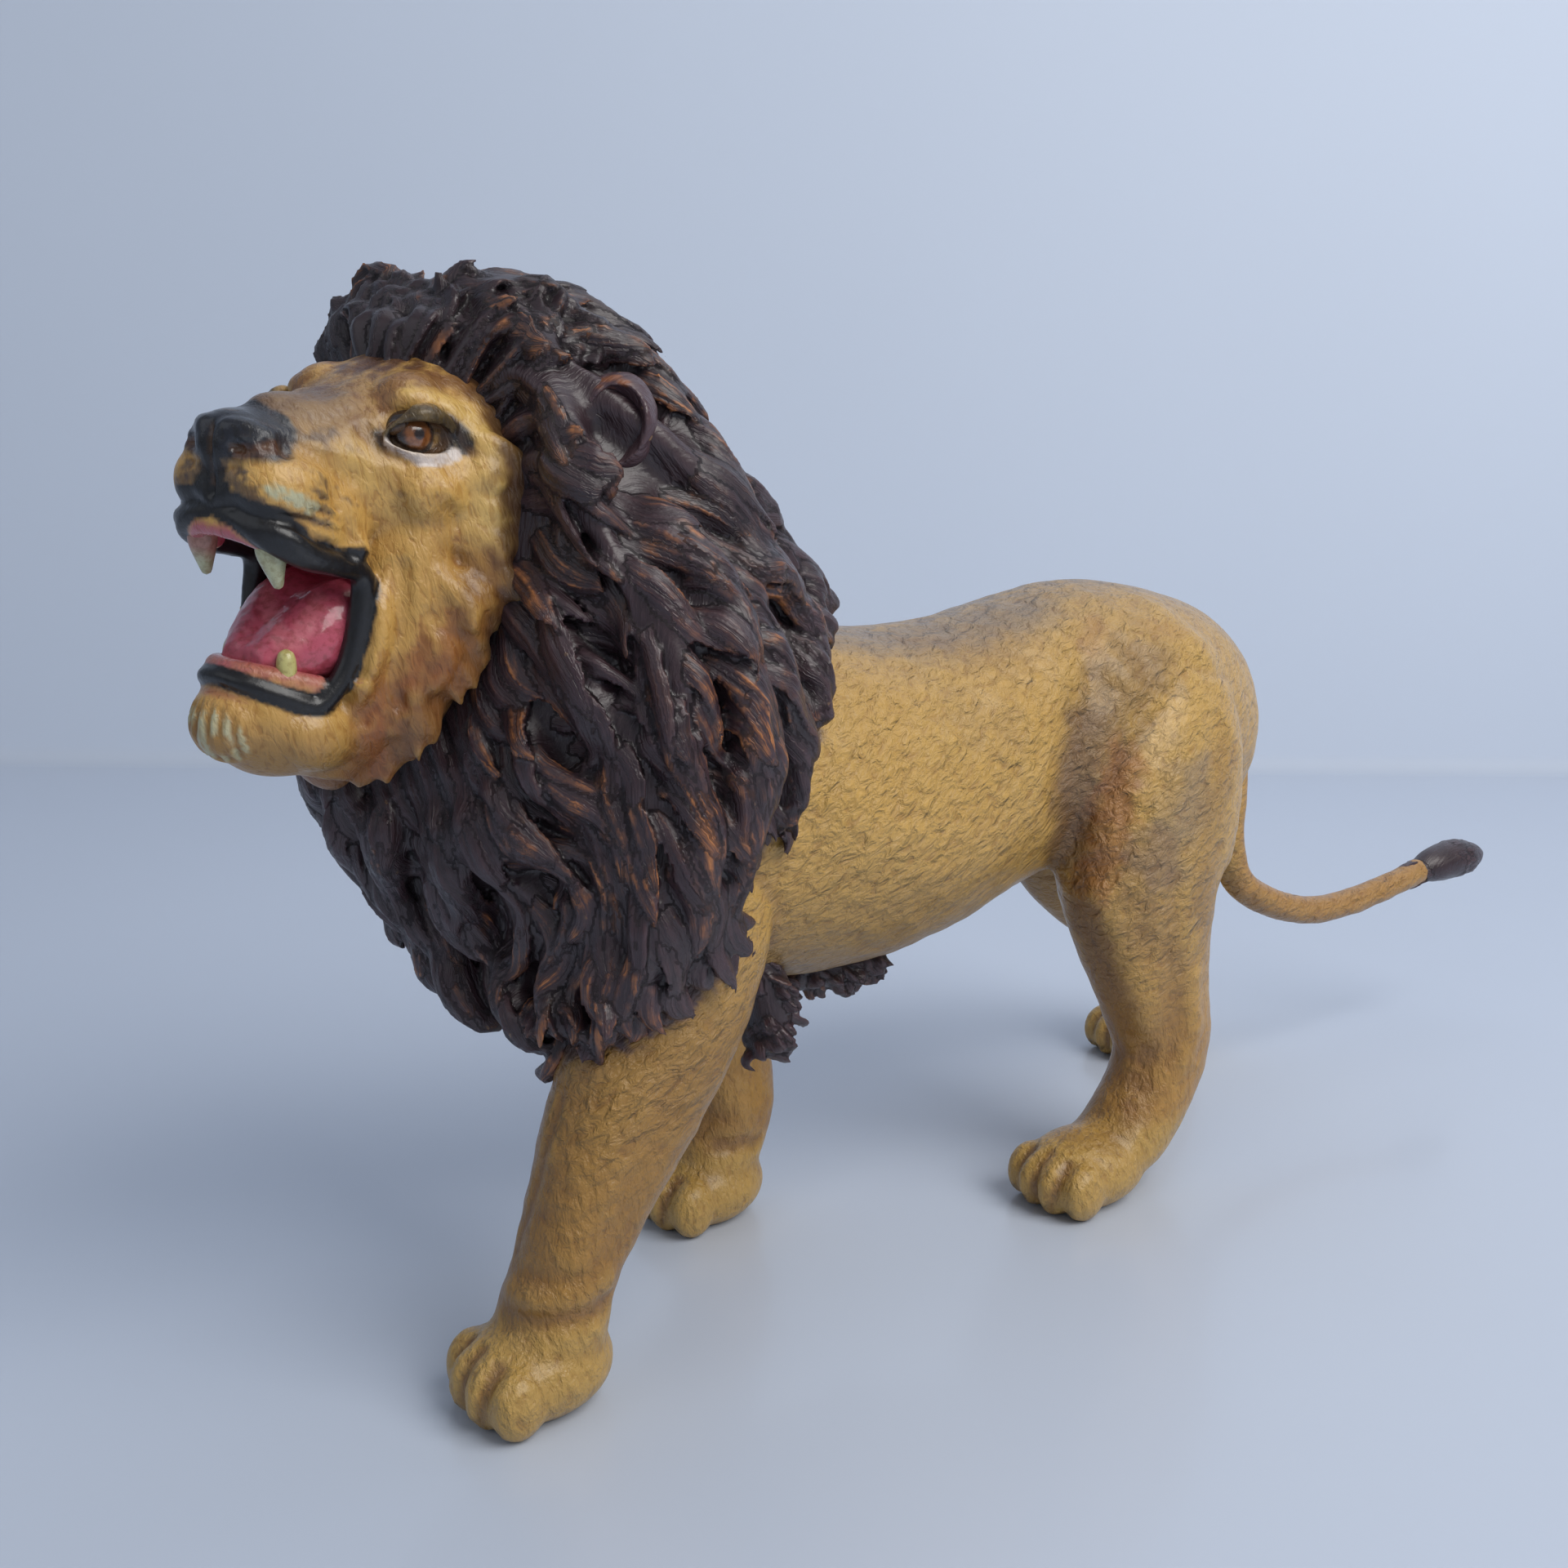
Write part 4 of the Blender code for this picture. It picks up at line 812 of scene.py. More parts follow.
# the cheek's ruff: tips of its tufts, and how far back their roots are
RUFF = (
    (-4.4, 12.5, 5.0, 4.6, -2.6, 1.0), (-5.8, 13.2, 0.6, 5.6, -2.6, 2.2), (-6.4, 13.4, -4.4, 6.0, -2.8, 3.4),
    (-6.0, 13.3, -8.8, 6.0, -3.0, 4.8), (-4.8, 12.6, -12.4, 5.4, -2.8, 6.0),
    (-4.0, 11.8, -15.8, 5.0, -2.4, 7.0), (-3.2, 10.5, -19.4, 4.6, -2.0, 7.4),
    (-1.8, 8.8, -22.8, 4.0, -1.2, 7.4), (-0.4, 6.4, -26.0, 3.0, -0.4, 7.0), (1.4, 3.4, -27.2, 2.0, 0.2, 6.6),
)
HAIRLINE = (
    (2.4, 0.0, 12.6), (2.0, 1.8, 13.2), (0.6, 4.0, 14.0), (-0.6, 7.0, 14.4), (-1.8, 9.4, 14.0),
    (-3.0, 11.2, 13.2), (-3.8, 12.6, 11.6),
)
EYE = (3.7, 6.6, 4.55)
EYE_RADIUS = 2.3
WHISKER_ROWS, WHISKER_DROP = 4, 1.05
CHIN_ROWS = 6
FUR_STROKES = 150
FRECKLES = 16

# folds of the face: path, radius and height
FACE_FOLDS = (
    # Eye sockets and brows
    (((5.2, 8.0, 4.3), (2.6, 8.9, 4.6)), 3.0, -1.15),
    (((7.2, 6.6, 6.8), (4.6, 8.0, 7.9), (1.6, 8.8, 7.6)), 1.8, 0.55),
    (((7.6, 5.6, 3.6), (6.6, 6.2, 2.2)), 1.6, -0.45),
    (((3.4, 8.8, 1.6), (0.4, 9.6, 1.6)), 1.8, 0.35),
    # The forehead's furrow, the bridge of the nose and its sides
    (((-4, 0, 14), (2, 0, 12.5), (7, 0, 9)), 2.0, -0.5),
    (((13.5, 2.6, 3.4), (10.5, 3.0, 5.0), (8.0, 3.2, 6.6)), 1.6, 0.35),
    (((14.5, 4.6, 1.2), (12.0, 5.6, 0.4), (9.0, 6.4, 0.0)), 1.5, -0.35),
    # Nose leather: nostrils, wings and the groove to the lip
    (((18.2, 2.4, 0.3), (17.5, 3.5, 0.2), (16.8, 4.2, 0.8)), 0.8, -0.8),
    (((18.4, 1.4, 1.9), (17.4, 3.2, 2.3), (16.0, 4.3, 2.2)), 1.1, 0.32),
    (((15.4, 4.9, 2.2), (15.3, 5.0, 0.6)), 0.9, -0.45),
    (((19.2, 0, 2.0), (19.0, 0, -0.8), (18.0, 0, -3.6)), 0.75, -0.55),
    (((17.6, 2.6, -1.3), (15.6, 5.0, -1.0)), 0.9, -0.35),
)
CHEEK_FOLDS = (
    (((11.4, 6.8, -1.2), (9.6, 7.2, -4.0), (8.6, 7.4, -6.2)), 1.3, -0.45),
    (((4.0, 8.6, -7.0), (3.4, 9.2, -11.5), (3.6, 8.8, -16.5), (4.8, 7.8, -20.5)), 1.5, -0.55),
    (((1.2, 9.6, -7.0), (0.6, 10.0, -12.0), (0.8, 9.4, -17.5)), 1.8, 0.45),
)
# paint on the face: path, radius, paint, strength, raggedness, its grain, and hardness
BROW_PAINT = (
    (((9.0, 6.0, 1.2), (6.4, 7.6, 0.0), (4.6, 8.6, -2.4)), 2.4, PALE_TAN, 0.55, 0.4, 1.5, 1.2),
    # Brow: a pale highlight, and brown shade by the nose and along the forehead
    (((6.2, 7.4, 8.8), (4.2, 8.6, 9.0), (1.4, 9.6, 8.2), (-0.8, 10.6, 6.4)), 1.9, PALE_TAN,
     0.9, 0.4, 1.2, 1.6),
    (((8.6, 5.6, 5.2), (7.4, 6.8, 6.6)), 1.7, BROWN, 0.85, 0.4, 1.0, 1.5),
    (((7.9, 3.0, 9.0), (5.8, 4.6, 11.2), (3.4, 7.4, 12.2), (0.8, 9.8, 12.2), (-1.6, 12.4, 10.0),
      (-3.6, 13.4, 6.0), (-5.0, 13.6, 1.0)), 2.6, BROWN, 0.70, 0.6, 1.2, 1.3),
    (((8.2, 0.0, 8.4), (7.4, 2.0, 9.8), (5.6, 4.4, 11.4)), 2.2, FOREHEAD_BROWN, 0.8, 0.5, 1.2, 1.4),
    (((6.6, 7.6, 0.8), (5.0, 8.9, -1.6), (4.2, 9.4, -3.6)), 1.5, BROWN, 0.28, 0.5, 1.0, 1.3),
    (((2.2, 9.6, -1.0), (1.4, 10.3, -4.0)), 1.6, BROWN, 0.22, 0.6, 1.0, 1.2),
    (((0.8, 10.2, 4.6), (-2.4, 11.0, 4.0)), 0.8, BROWN, 0.5, 0.4, 0.8, 1.5),
    (np.array(HAIRLINE) + (1.2, 0, -0.8), 4.2, HAIRLINE_BROWN, 0.95, 0.5, 1.3, 1.6),
    (((-2.4, 12.6, 10.4), (-3.6, 13.2, 6.4), (-4.6, 13.5, 1.6), (-5.2, 13.5, -3.0), (-5.0, 13.2, -8.0),
      (-4.0, 12.4, -12.5)), 1.5, BROWN, 0.80, 0.6, 1.0, 1.5),
    # Eye rims: painted shade in the socket above the eye, black line above, white below
    (((7.2, 7.2, 4.6), (5.6, 8.4, 5.6), (3.8, 9.2, 5.9), (1.6, 9.8, 5.4)), 1.7, SOCKET_SHADE_BROWN,
     0.9, 0.35, 0.9, 1.8),
    (((7.2, 7.2, 4.0), (6.2, 8.0, 5.3), (4.4, 8.9, 6.2), (2.2, 9.4, 6.0), (0.2, 9.8, 4.8)), 1.6, LIP_BLACK,
     0.97, 0.15, 0.8, 2.6),
    (((6.6, 7.2, 4.0), (4.6, 8.4, 3.5), (2.2, 9.2, 3.8), (0.8, 9.5, 4.8)), 1.0, LIP_BLACK,
     0.97, 0.1, 0.8, 3.0),
    (((7.8, 6.6, 3.5), (6.8, 7.3, 4.0)), 0.8, LIP_BLACK, 0.9, 0.2, 0.8, 3.0),
    (((0.9, 9.6, 4.6), (-0.6, 10.2, 4.2), (-1.8, 10.6, 3.8)), 0.8, LIP_BLACK, 0.85, 0.2, 0.8, 2.5),
    (((7.9, 7.1, 3.4), (6.6, 8.0, 2.8), (4.8, 9.2, 2.5), (3.0, 9.8, 2.8), (1.2, 10.1, 3.7)), 0.78, LID_WHITE,
     0.95, 0.10, 0.6, 3.0),
    # Tear marks and streaks of the muzzle
    (((14.2, 4.4, 2.0), (12.4, 4.9, 2.7), (10.8, 5.3, 3.5)), 1.1, MURK, 0.75, 0.5, 0.8, 1.3),
    (((12.6, 5.6, 1.6), (10.8, 6.2, 1.9), (9.2, 6.6, 2.4)), 0.9, MURK, 0.55, 0.5, 0.8, 1.2),
    (((15.6, 5.0, -0.6), (13.2, 6.2, -1.0), (10.8, 7.0, -1.2), (8.4, 7.4, -2.2)), 0.9, MURK,
     0.80, 0.45, 0.6, 1.5),
    (((9.4, 7.0, 0.6), (7.0, 7.9, 0.2), (5.4, 8.6, -0.8)), 0.55, MURK, 0.5, 0.4, 0.6, 1.6),
    (((9.4, 7.3, -1.2), (7.2, 8.0, -2.0), (5.8, 8.4, -3.2)), 0.5, MURK, 0.4, 0.4, 0.6, 1.6),
)
MUZZLE_PAINT = (
    (((16.6, 5.6, -2.5), (15.0, 6.6, -2.8), (13.4, 7.2, -3.4)), 0.85, CREAM, 0.9, 0.4, 0.6, 2.0),
    (((16.8, 5.4, -4.8), (14.6, 6.9, -5.4), (12.2, 7.4, -5.6)), 0.7, CREAM, 0.55, 0.5, 0.6, 2.0),
    (((18.3, 1.2, -1.6), (18.2, 3.0, -2.6), (17.6, 4.6, -3.6)), 1.5, MURK, 0.75, 0.6, 0.7, 1.4),
    # Nose leather and nostrils
    (((19.2, 0, 1.4), (18.6, 1.6, 1.6), (17.6, 3.0, 1.8), (16.4, 4.2, 2.0)), 2.9, NOSE_BLACK,
     1.0, 0.08, 0.8, 5.0),
    (((16.2, 0, 4.0), (15.8, 2.2, 3.8), (15.0, 4.2, 2.8)), 1.8, NOSE_BLACK, 1.0, 0.12, 0.8, 4.0),
    (((18.9, 0, -0.6), (18.6, 0.4, -2.6), (18.2, 1.4, -4.4)), 1.9, LIP_BLACK, 1.0, 0.2, 0.6, 3.0),
    (((17.9, 2.9, 0.0), (17.0, 3.9, 0.2), (16.2, 4.7, 0.9)), 0.95, NOSTRIL_BROWN, 0.95, 0.25, 0.6, 2.5),
)
# strokes of brown on the cheek: where they show in the photograph (pixels), radius, paint, strength
CHEEK_BRUSH = (0.6, 1.0, 1.6)
CHEEK_STROKES = (
    (((471, 482), (517, 458), (575, 470), (628, 518), (652, 571)), 2.2, STROKE_BROWN, 0.80),
    (((651, 597), (656, 649), (643, 715), (609, 767), (582, 806)), 1.7, BROWN, 0.75),
    (((471, 806), (463, 850), (461, 898)), 1.2, RUST, 0.55),
    (((517, 780), (507, 820), (498, 859)), 1.2, RUST, 0.6),
    (((556, 754), (550, 790), (543, 832)), 1.2, RUST, 0.6),
    (((445, 859), (457, 905), (471, 950)), 1.5, RUST, 0.6),
    (((580, 690), (575, 730), (560, 770)), 1.1, BROWN, 0.45),
    (((520, 860), (505, 900), (490, 930)), 1.6, BROWN, 0.5),
)
# paint inside the lower lip: path, radius, paint, strength, raggedness, grain and hardness
LIP_LINING = (
    (((13.6, 0, -17.4), (12.6, 2.4, -17.4), (10.6, 4.2, -17.5), (8.4, 5.0, -17.8)), 1.7, PINK,
     0.85, 0.15, 0.8, 2.0),
)
LIP_EDGE = (
    (((13.6, 0.0, -18.6), (12.4, 3.0, -18.8), (10.2, 4.6, -19.0)), 0.9, GUM_BROWN, 0.8, 0.2, 0.8, 2.0),
)
MOUTH_MIDDLE = (6.0, 0, -12.5)
NOSE_MIDDLE = (18.4, 0, 1.2)


def both_cheeks(path):
    """A path on the left of the head and its mirror image, or one path along the middle."""
    sides = [on_head(path), on_head(mirrored(path))]
    return sides if any(left for _, left, _ in path) else sides[:1]


def lip_paths(path, inward):
    """The paths of both lips, drawn a little into the mouth."""
    middle = HEAD_ORIGIN + HEAD[0] * 8 - HEAD[2] * 12
    return [line + unit(middle - line) * inward for line in both_cheeks(path)]


def whiskers(first, fan):
    """Rows of the whisker pads, below each other. fan is how far each place moves ahead per row."""
    return [[(forward + ahead * row, left, up - WHISKER_DROP * row)
             for (forward, left, up), ahead in zip(first, fan)] for row in range(WHISKER_ROWS)]


def face_forms():
    forms = [head_loft(SKULL), cheek_loft(), head_loft(JAW)]
    forms += [ball(on_head(centre), radii, HEAD) for centre, radii in MIDDLE_BALLS]
    for side in (1, -1):
        for (forward, left, up), radii in SIDE_BALLS:
            forms.append(ball(on_head((forward, side * left, up)), radii, HEAD))
    forms.append(tube(on_head(THROAT_FUR), (4.2, 3.0, 1.6), side_hint=HEAD[1]))
    return forms + ruff_forms()


def ruff_forms():
    """Tufts of the cheek that flare out over the mane."""
    rng = np.random.default_rng(17)
    forms = []
    line = catmull(RUFF, 9)
    for row in (0, 1):
        for forward, left, up, *root in line[row::2]:
            share = 1 - 0.42 * row
            tip = np.array((forward, left, up)) + np.array(root) * 0.30 * row + rng.normal(0, 0.45, 3)
            back = (np.array(root) - (0, 1.3, 0)) * share * rng.uniform(0.85, 1.15)
            middle = tip + back * 0.5 + (0, 0.45, 0)
            girth = rng.uniform(1.1, 1.7)
            bend = rng.normal(0, 0.5)
            path = np.array((tip + back, middle + (bend, 0.1, -bend), tip + back * 0.2 + (0, 0.5, 0), tip))
            radii = (girth * 0.8, girth, girth * 0.75, 0.4)
            for side in (1, -1):
                forms.append(tube(on_head(path * (1, side, 1)), radii, 3, 12, 0.62, HEAD[2]))
    return forms


def make_face():
    made = melted(made_object("face", face_forms()), 0.36, 8)
    cut(made, [head_loft(GAPE, 1, 28, 0.4)])
    cut(made, [head_loft(THROAT, 4, 28, 0.8)])
    cut(made, [head_loft(MOUTH_FLOOR, 2, 24, 0.8)])
    # Plugs that join the lips to the cheeks, then lips, eyelids and gums
    forms = [ball(on_head((7.9, 6.5 * side, -5.9)), (1.7, 1.2, 1.2), HEAD) for side in (1, -1)]
    for path in lip_paths(LIP, LIP_INWARD):
        forms.append(tube(path, LIP_WIDTHS * 0.66, 3, 16, side_hint=HEAD[2]))
    for path in lip_paths(ROLL, ROLL_INWARD):
        forms.append(tube(path, ROLL_RADII, 3, 16, side_hint=HEAD[2]))
    for table, steps in ((EYELIDS, 4), (GUMS, 3)):
        for places, radii in table:
            forms += [tube(path, radii, steps, 14, side_hint=HEAD[2]) for path in both_cheeks(places)]
    merged(made, forms)
    return Skin(melted(made, FACE_VOXEL, 2), FACE_TAN)


def sculpt_face(skin):
    def carve(strokes):
        for path, radius, height in strokes:
            for place in both_cheeks(path):
                skin.push(place, radius, height)

    carve(FACE_FOLDS)
    pads = whiskers(((17.4, 3.4, -1.9), (15.4, 5.9, -2.1), (12.6, 7.0, -2.5), (10.4, 7.3, -2.8)),
                    (-0.2, 0, 0, 0))
    carve((path, 0.55, -0.22) for path in pads)
    carve(CHEEK_FOLDS)
    for row in range(CHIN_ROWS):
        side = 0.7 + 1.0 * row
        comb = ((15.6 - 0.35 * row, side, -20.9), (15.5 - 0.5 * row, side * 1.02, -23.0),
                (13.6 - 0.5 * row, side * 0.95, -25.6))
        carve([(comb, 0.55, -0.30)])
    # Combed fur over cheeks and jaw: slanting grooves
    rng = np.random.default_rng(11)
    for _ in range(FUR_STROKES):
        forward, up = rng.uniform(-8.5, 5.5), rng.uniform(-25, 9)
        left = 10.6 if up > -14 else 9.0
        lean = 0.9 + 0.35 * rng.normal()
        length = rng.uniform(1.5, 3.2)
        path = [(forward, left, up), (forward - 0.55 * length, left, up - lean * length * 0.6),
                (forward - 0.8 * length, left, up - lean * length)]
        for place in both_cheeks(path):
            skin.push(place, rng.uniform(0.9, 1.5), rng.uniform(-0.20, -0.08))
    skin.refresh()
    grain = np.stack((skin.points[:, 0], skin.points[:, 1], 0.45 * skin.points[:, 2]), axis=-1)
    furry = ramp(in_head(skin.points)[:, 0], 4, -4)
    ripple = noise(grain, 1.3) * 0.07 + noise(grain + 40, 2.6) * 0.10
    skin.points += skin.normals * (ripple * furry)[:, None]
    skin.refresh()


def paint_face(skin, mane_tree):
    local = in_head(skin.points)
    forward, left, up = local.T
    facing = skin.normals @ HEAD.T
    side = np.abs(left)
    speck = noise(skin.points + 13, 1.4)
    cloud = noise(skin.points + 3, 5.0)

    def brush(strokes):
        for path, *stroke in strokes:
            for place in both_cheeks(path):
                skin.tint(place, *stroke)

    def spread(mask):
        """A mask of points as amounts, softened at its border."""
        return skin.blur(mask.astype(float), 1)[:, 0]

    skin.wash(np.clip(0.4 + 0.6 * cloud, 0, 1) * 0.30, PALE_TAN)
    # Cooler bridge and muzzle; the lower cheek brown, deepened as painted shade, with a painted highlight on
    # the cheek above it; painted shade under the chin and throat; brown at the border of the mane
    skin.wash(ramp(forward, 2, 8) * ramp(up, -1, 4) * np.exp(-(left / 7.0) ** 2) * 0.90, BRIDGE_TAN)
    border = 6.0 * ramp(up, -9, -18)
    rear = np.clip((border - forward + 0.9 * speck) / 3.5, 0, 1)
    skin.wash(ramp(up, 1, -9) * rear * (0.50 + 0.25 * speck), AMBER)
    low = ramp(up - cloud, -1.0, -4.5)
    # brown on the lower cheek, deepened as painted shade
    skin.wash(ramp(forward - 1.2 * cloud, 3.5, -1.5) * low * (0.70 + 0.3 * speck), CHEEK_SHADE_BROWN)
    # painted highlight on the upper rear cheek by the mane
    skin.wash(ramp(forward, 1.5, -1.5) * (1 - low) * ramp(up, 6, 5) * 0.9, HIGHLIGHT_TAN)
    # painted shade under the chin and throat
    skin.wash(ramp(up, -19.5, -23.5) * 0.50, BROWN)
    skin.wash(ramp(up - 2 * cloud, -7, -14) * rear * 0.75, RUST)
    skin.wash(ramp(up - 2 * speck, -12, -19) * rear * 0.60, BROWN)
    brush(BROW_PAINT)
    pads = whiskers(((18.0, 3.0, -1.5), (16.0, 5.6, -1.6), (13.2, 6.9, -2.0), (10.4, 7.3, -2.3)),
                    (-0.3, 0, 0, 0.5))
    brush((path, 0.55, MURK, 0.85, 0.35, 0.6, 2.0) for path in pads)
    brush(MUZZLE_PAINT)
    for row in range(CHIN_ROWS):
        across = 0.3 + 1.0 * row
        comb = ((15.9 - 0.3 * row, across, -21.0), (15.7 - 0.5 * row, across, -23.0),
                (13.8 - 0.6 * row, across * 0.95, -25.8))
        brush([(comb, 0.42, CREAM, 0.8, 0.3, 0.5, 2.2)])
    tree = tree_of(skin.points, skin.made)
    brush((in_head(seen(tree, pixels)), *stroke, *CHEEK_BRUSH) for pixels, *stroke in CHEEK_STROKES)
    rng = np.random.default_rng(4)
    for _ in range(FRECKLES):
        place = (rng.uniform(-6, 5), 10.4, rng.uniform(-14, 3))
        freckle = (place, (place[0] - 0.4, place[1], place[2] - 0.7))
        brush([(freckle, rng.uniform(0.5, 0.8), RUST, 0.5, 0.5, 0.5, 1.5)])
    # Inside of the mouth and gums, then the black lips over everything
    lips = np.zeros(len(skin.points))
    for path in lip_paths(LIP, LIP_INWARD):
        lips = np.maximum(lips, skin.weight(path, LIP_WIDTHS * 1.15, 0.05, 1.0))
    for path in both_cheeks(ROLL):
        lips = np.maximum(lips, skin.weight(path, ROLL_WIDTHS, 0.10, 1.0))
    inward = ((np.array(MOUTH_MIDDLE) - local) * facing).sum(axis=1) > 0
    within = (forward > -7) & (forward < 17) & (side < np.where(up > -9, 5.8, 7.6))
    mouth = spread(inward & within & (up < -5.4) & (up > -19.0) & (lips < 0.05))
    skin.wash(mouth, CRIMSON)
    skin.wash(mouth * ramp(forward, 8, -2) * 0.25, THROAT_RED)
    brush(LIP_LINING)
    rim = (forward > 6.5) & (side < 6.2) & (up < -16.8) & (up > -20.2) & (facing[:, 2] > 0.15)
    skin.wash(spread(rim) * (0.55 + 0.3 * speck), LIP_RED)
    gum = (forward > 12.5) & (side < 5.4) & (up < -4.6) & (up > -9) & (facing[:, 2] < -0.1) & (lips < 0.1)
    skin.wash(spread(gum), PINK)
    brush(LIP_EDGE)
    skin.wash(np.clip(lips * 6 - 0.5, 0, 1), LIP_BLACK)
    for path in both_cheeks(LIP):
        skin.shine(path, 2.0, 0.35)
    skin.gloss = np.maximum(skin.gloss, mouth)
    skin.shine(on_head([NOSE_MIDDLE]), 4.6, 0.8, 4.0)
    # Border of the mane, hollows and ridges
    gap = gaps_to(mane_tree, skin.points)
    outer = (up > -22) | (forward < 0)
    skin.wash(np.clip((3.4 + 1.6 * speck - gap) * 0.5, 0, 1) * outer * 0.70, BROWN)
    skin.wash(np.clip((2.0 + 1.3 * speck - gap) * 0.8, 0, 1) * outer * 0.60, BORDER_BROWN)
    hollow = skin.cavity(2)
    painted = np.clip(mouth + lips * 6, 0, 1)
    skin.wash(np.clip(hollow * 9, 0, 1) * 0.45 * (1 - painted), BROWN)
    skin.wash(np.clip(-hollow * 12, 0, 1) * 0.30 * (1 - painted) * (forward < 14), PALE_TAN)
    return {"wet": painted}


# the mane
EARS = (((-8.8, 19.1, 9.2), 1), ((-14.0, -13.3, 8.7), -1))
EAR_RADII = (3.6, 3.8, 4.6)
EAR_HOLLOW = (2.0, 1.43, -0.3)
EAR_HOLLOW_RADII = (2.3, 2.8, 3.4)
EAR_CLEARANCE, CLUMP_EAR_CLEARANCE = 5.2, 6.5
LOCK_STATIONS = 15
LOCK_ACROSS = 13
LOCK_RIDGES = 3.1
LOCK_SPACING = 2.45
LOCK_LENGTHS, LOCK_WIDTHS = (9.5, 15.5), (1.1, 2.1)
LOCK_THICKNESSES, LOCK_LIFTS = (0.75, 1.15), (0.5, 1.6)
RUST_CHANCE = 0.14
# locks past the hood's edge: where they are shortened, and where they are left out (mm)
OVERHANG, OVERHANG_LIMIT = 1.2, 3.2
# the opening for the face: ahead of a place, to either side, and from below to above
OPENING_FRONT, OPENING_SIDE, OPENING_LOW, OPENING_HIGH = -3.5, 9.0, -27.0, 11.0
SWEPT_BACK = np.array((0, 1.3, -0.25))
# a lock from root to tip: share of its length, girth and rise
LOCK_PROFILE = np.array(((0, 0.35, -0.55), (0.15, 0.80, -0.1), (0.4, 1.0, 0.20), (0.65, 0.85, 0.42),
                         (0.85, 0.50, 0.60), (0.95, 0.24, 0.62), (1, 0.05, 0.55)))
# where rusty locks show in the photograph (pixels)
RUST_SPOTS = ((700, 310), (740, 300), (770, 660), (800, 690), (840, 650), (860, 700), (880, 900),
              (700, 1040), (730, 1060), (760, 1050), (690, 490), (830, 630), (640, 860),
              (895, 845), (860, 1010), (900, 740), (680, 1180), (740, 1220), (940, 790),
              (820, 480), (790, 390), (960, 715), (690, 400), (650, 380), (905, 890))
MANE_PIECES = ("mane_left", "mane_right", "mane_chest")
CHEST_HEIGHT = 62.0


def hood_rings():
    rings = []
    sides = 80
    angle = 2 * np.pi * np.arange(sides) / sides
    crown = np.sin(angle) > 0
    power = np.where(crown, 0.88, 0.70)
    height = np.sign(np.sin(angle)) * np.abs(np.sin(angle)) ** power
    across = np.sign(np.cos(angle)) * np.abs(np.cos(angle)) ** power
    across = across * np.where(crown, 1 - 0.28 * height, 1)
    for y, z, lean, rise, drop, width, yaw in catmull(MANE, 6):
        up = unit(np.array((0, lean, 1.0)))
        side = np.array((math.cos(yaw), math.sin(yaw), 0))
        rings.append(np.array((0, y, z)) + side * (across * width * MANE_RADIUS)[:, None]
                     + up * (height * np.where(crown, rise, drop) * MANE_RADIUS)[:, None])
    return np.array(rings)


def hood_point(grid, along, around):
    """A place on the hood and its outward direction. along is 0 at the face, 1 at the flanks."""
    rows, sides = grid.shape[:2]
    row = min(max(1 - along, 0), 1) * (rows - 1)
    low = min(int(row), rows - 2)
    column = (around % 1) * sides
    start = int(column) % sides
    following = (start + 1) % sides
    across = column - int(column)
    near = grid[low, start] * (1 - across) + grid[low, following] * across
    far = grid[low + 1, start] * (1 - across) + grid[low + 1, following] * across
    outward = unit(np.cross(grid[low, following] - grid[low, start], far - near))
    return near + (far - near) * (row - low), outward


def clumps(grid):
    """The big locks that the solids have too: their forms and their centre lines."""
    ears = [on_head(place) for place, _ in EARS]
    shares, girths, rises = np.array(CLUMP).T
    forms, lines = [], []
    for row, (along, count, length, width) in enumerate(LOCK_ROWS):
        for index in range(count):
            around = (index + 0.5 * (row % 2)) / count
            first, _ = hood_point(grid, along + 0.1, around)
            if min(np.linalg.norm(first - ear) for ear in ears) < CLUMP_EAR_CLEARANCE:
                continue
            start, _ = hood_point(grid, along, around)
            span = 0.1 * length * CLUMP_LENGTH / np.linalg.norm(first - start)
            sway = math.sin(7 * index + 3 * row)
            centres, ups, halves = [], [], []
            for share in np.linspace(0, 1, 14):
                bend = math.sin(share * math.pi * CLUMP_TURNS) * sway * CLUMP_SWAY
                hang = math.cos(2 * math.pi * around) * share * CLUMP_DROOP
                place, outward = hood_point(grid, along + share * span, around + bend - hang)
                centres.append(place + outward * np.interp(share, shares, rises) * CLUMP_RISE)
                ups.append(outward)
                halves.append(np.interp(share, shares, girths) * width * CLUMP_HALF_WIDTH)
            centres, ups, halves = np.array(centres), np.array(ups), np.array(halves)[:, None, None]
            way = unit(np.gradient(centres, axis=0))
            side = unit(np.cross(way, ups))
            up = np.cross(side, way)
            across, height = oval(20)
            forms.append(sweep(centres[:, None] + side[:, None] * across[None, :, None] * halves
                               + up[:, None] * height[None, :, None] * halves * CLUMP_FLATNESS))
            lines.append(np.hstack((centres, way)))
    return forms, np.vstack(lines)


def flow(lines, place, normal):
    """The way the hair lies at a place: that of the big locks near it."""
    gap = ((lines[:, :3] - place) ** 2).sum(axis=1)
    share = np.exp(-gap / 7.0 + gap.min() / 7.0)
    way = (lines[:, 3:] * share[:, None]).sum(axis=0)
    return unit(way - normal * (way @ normal))


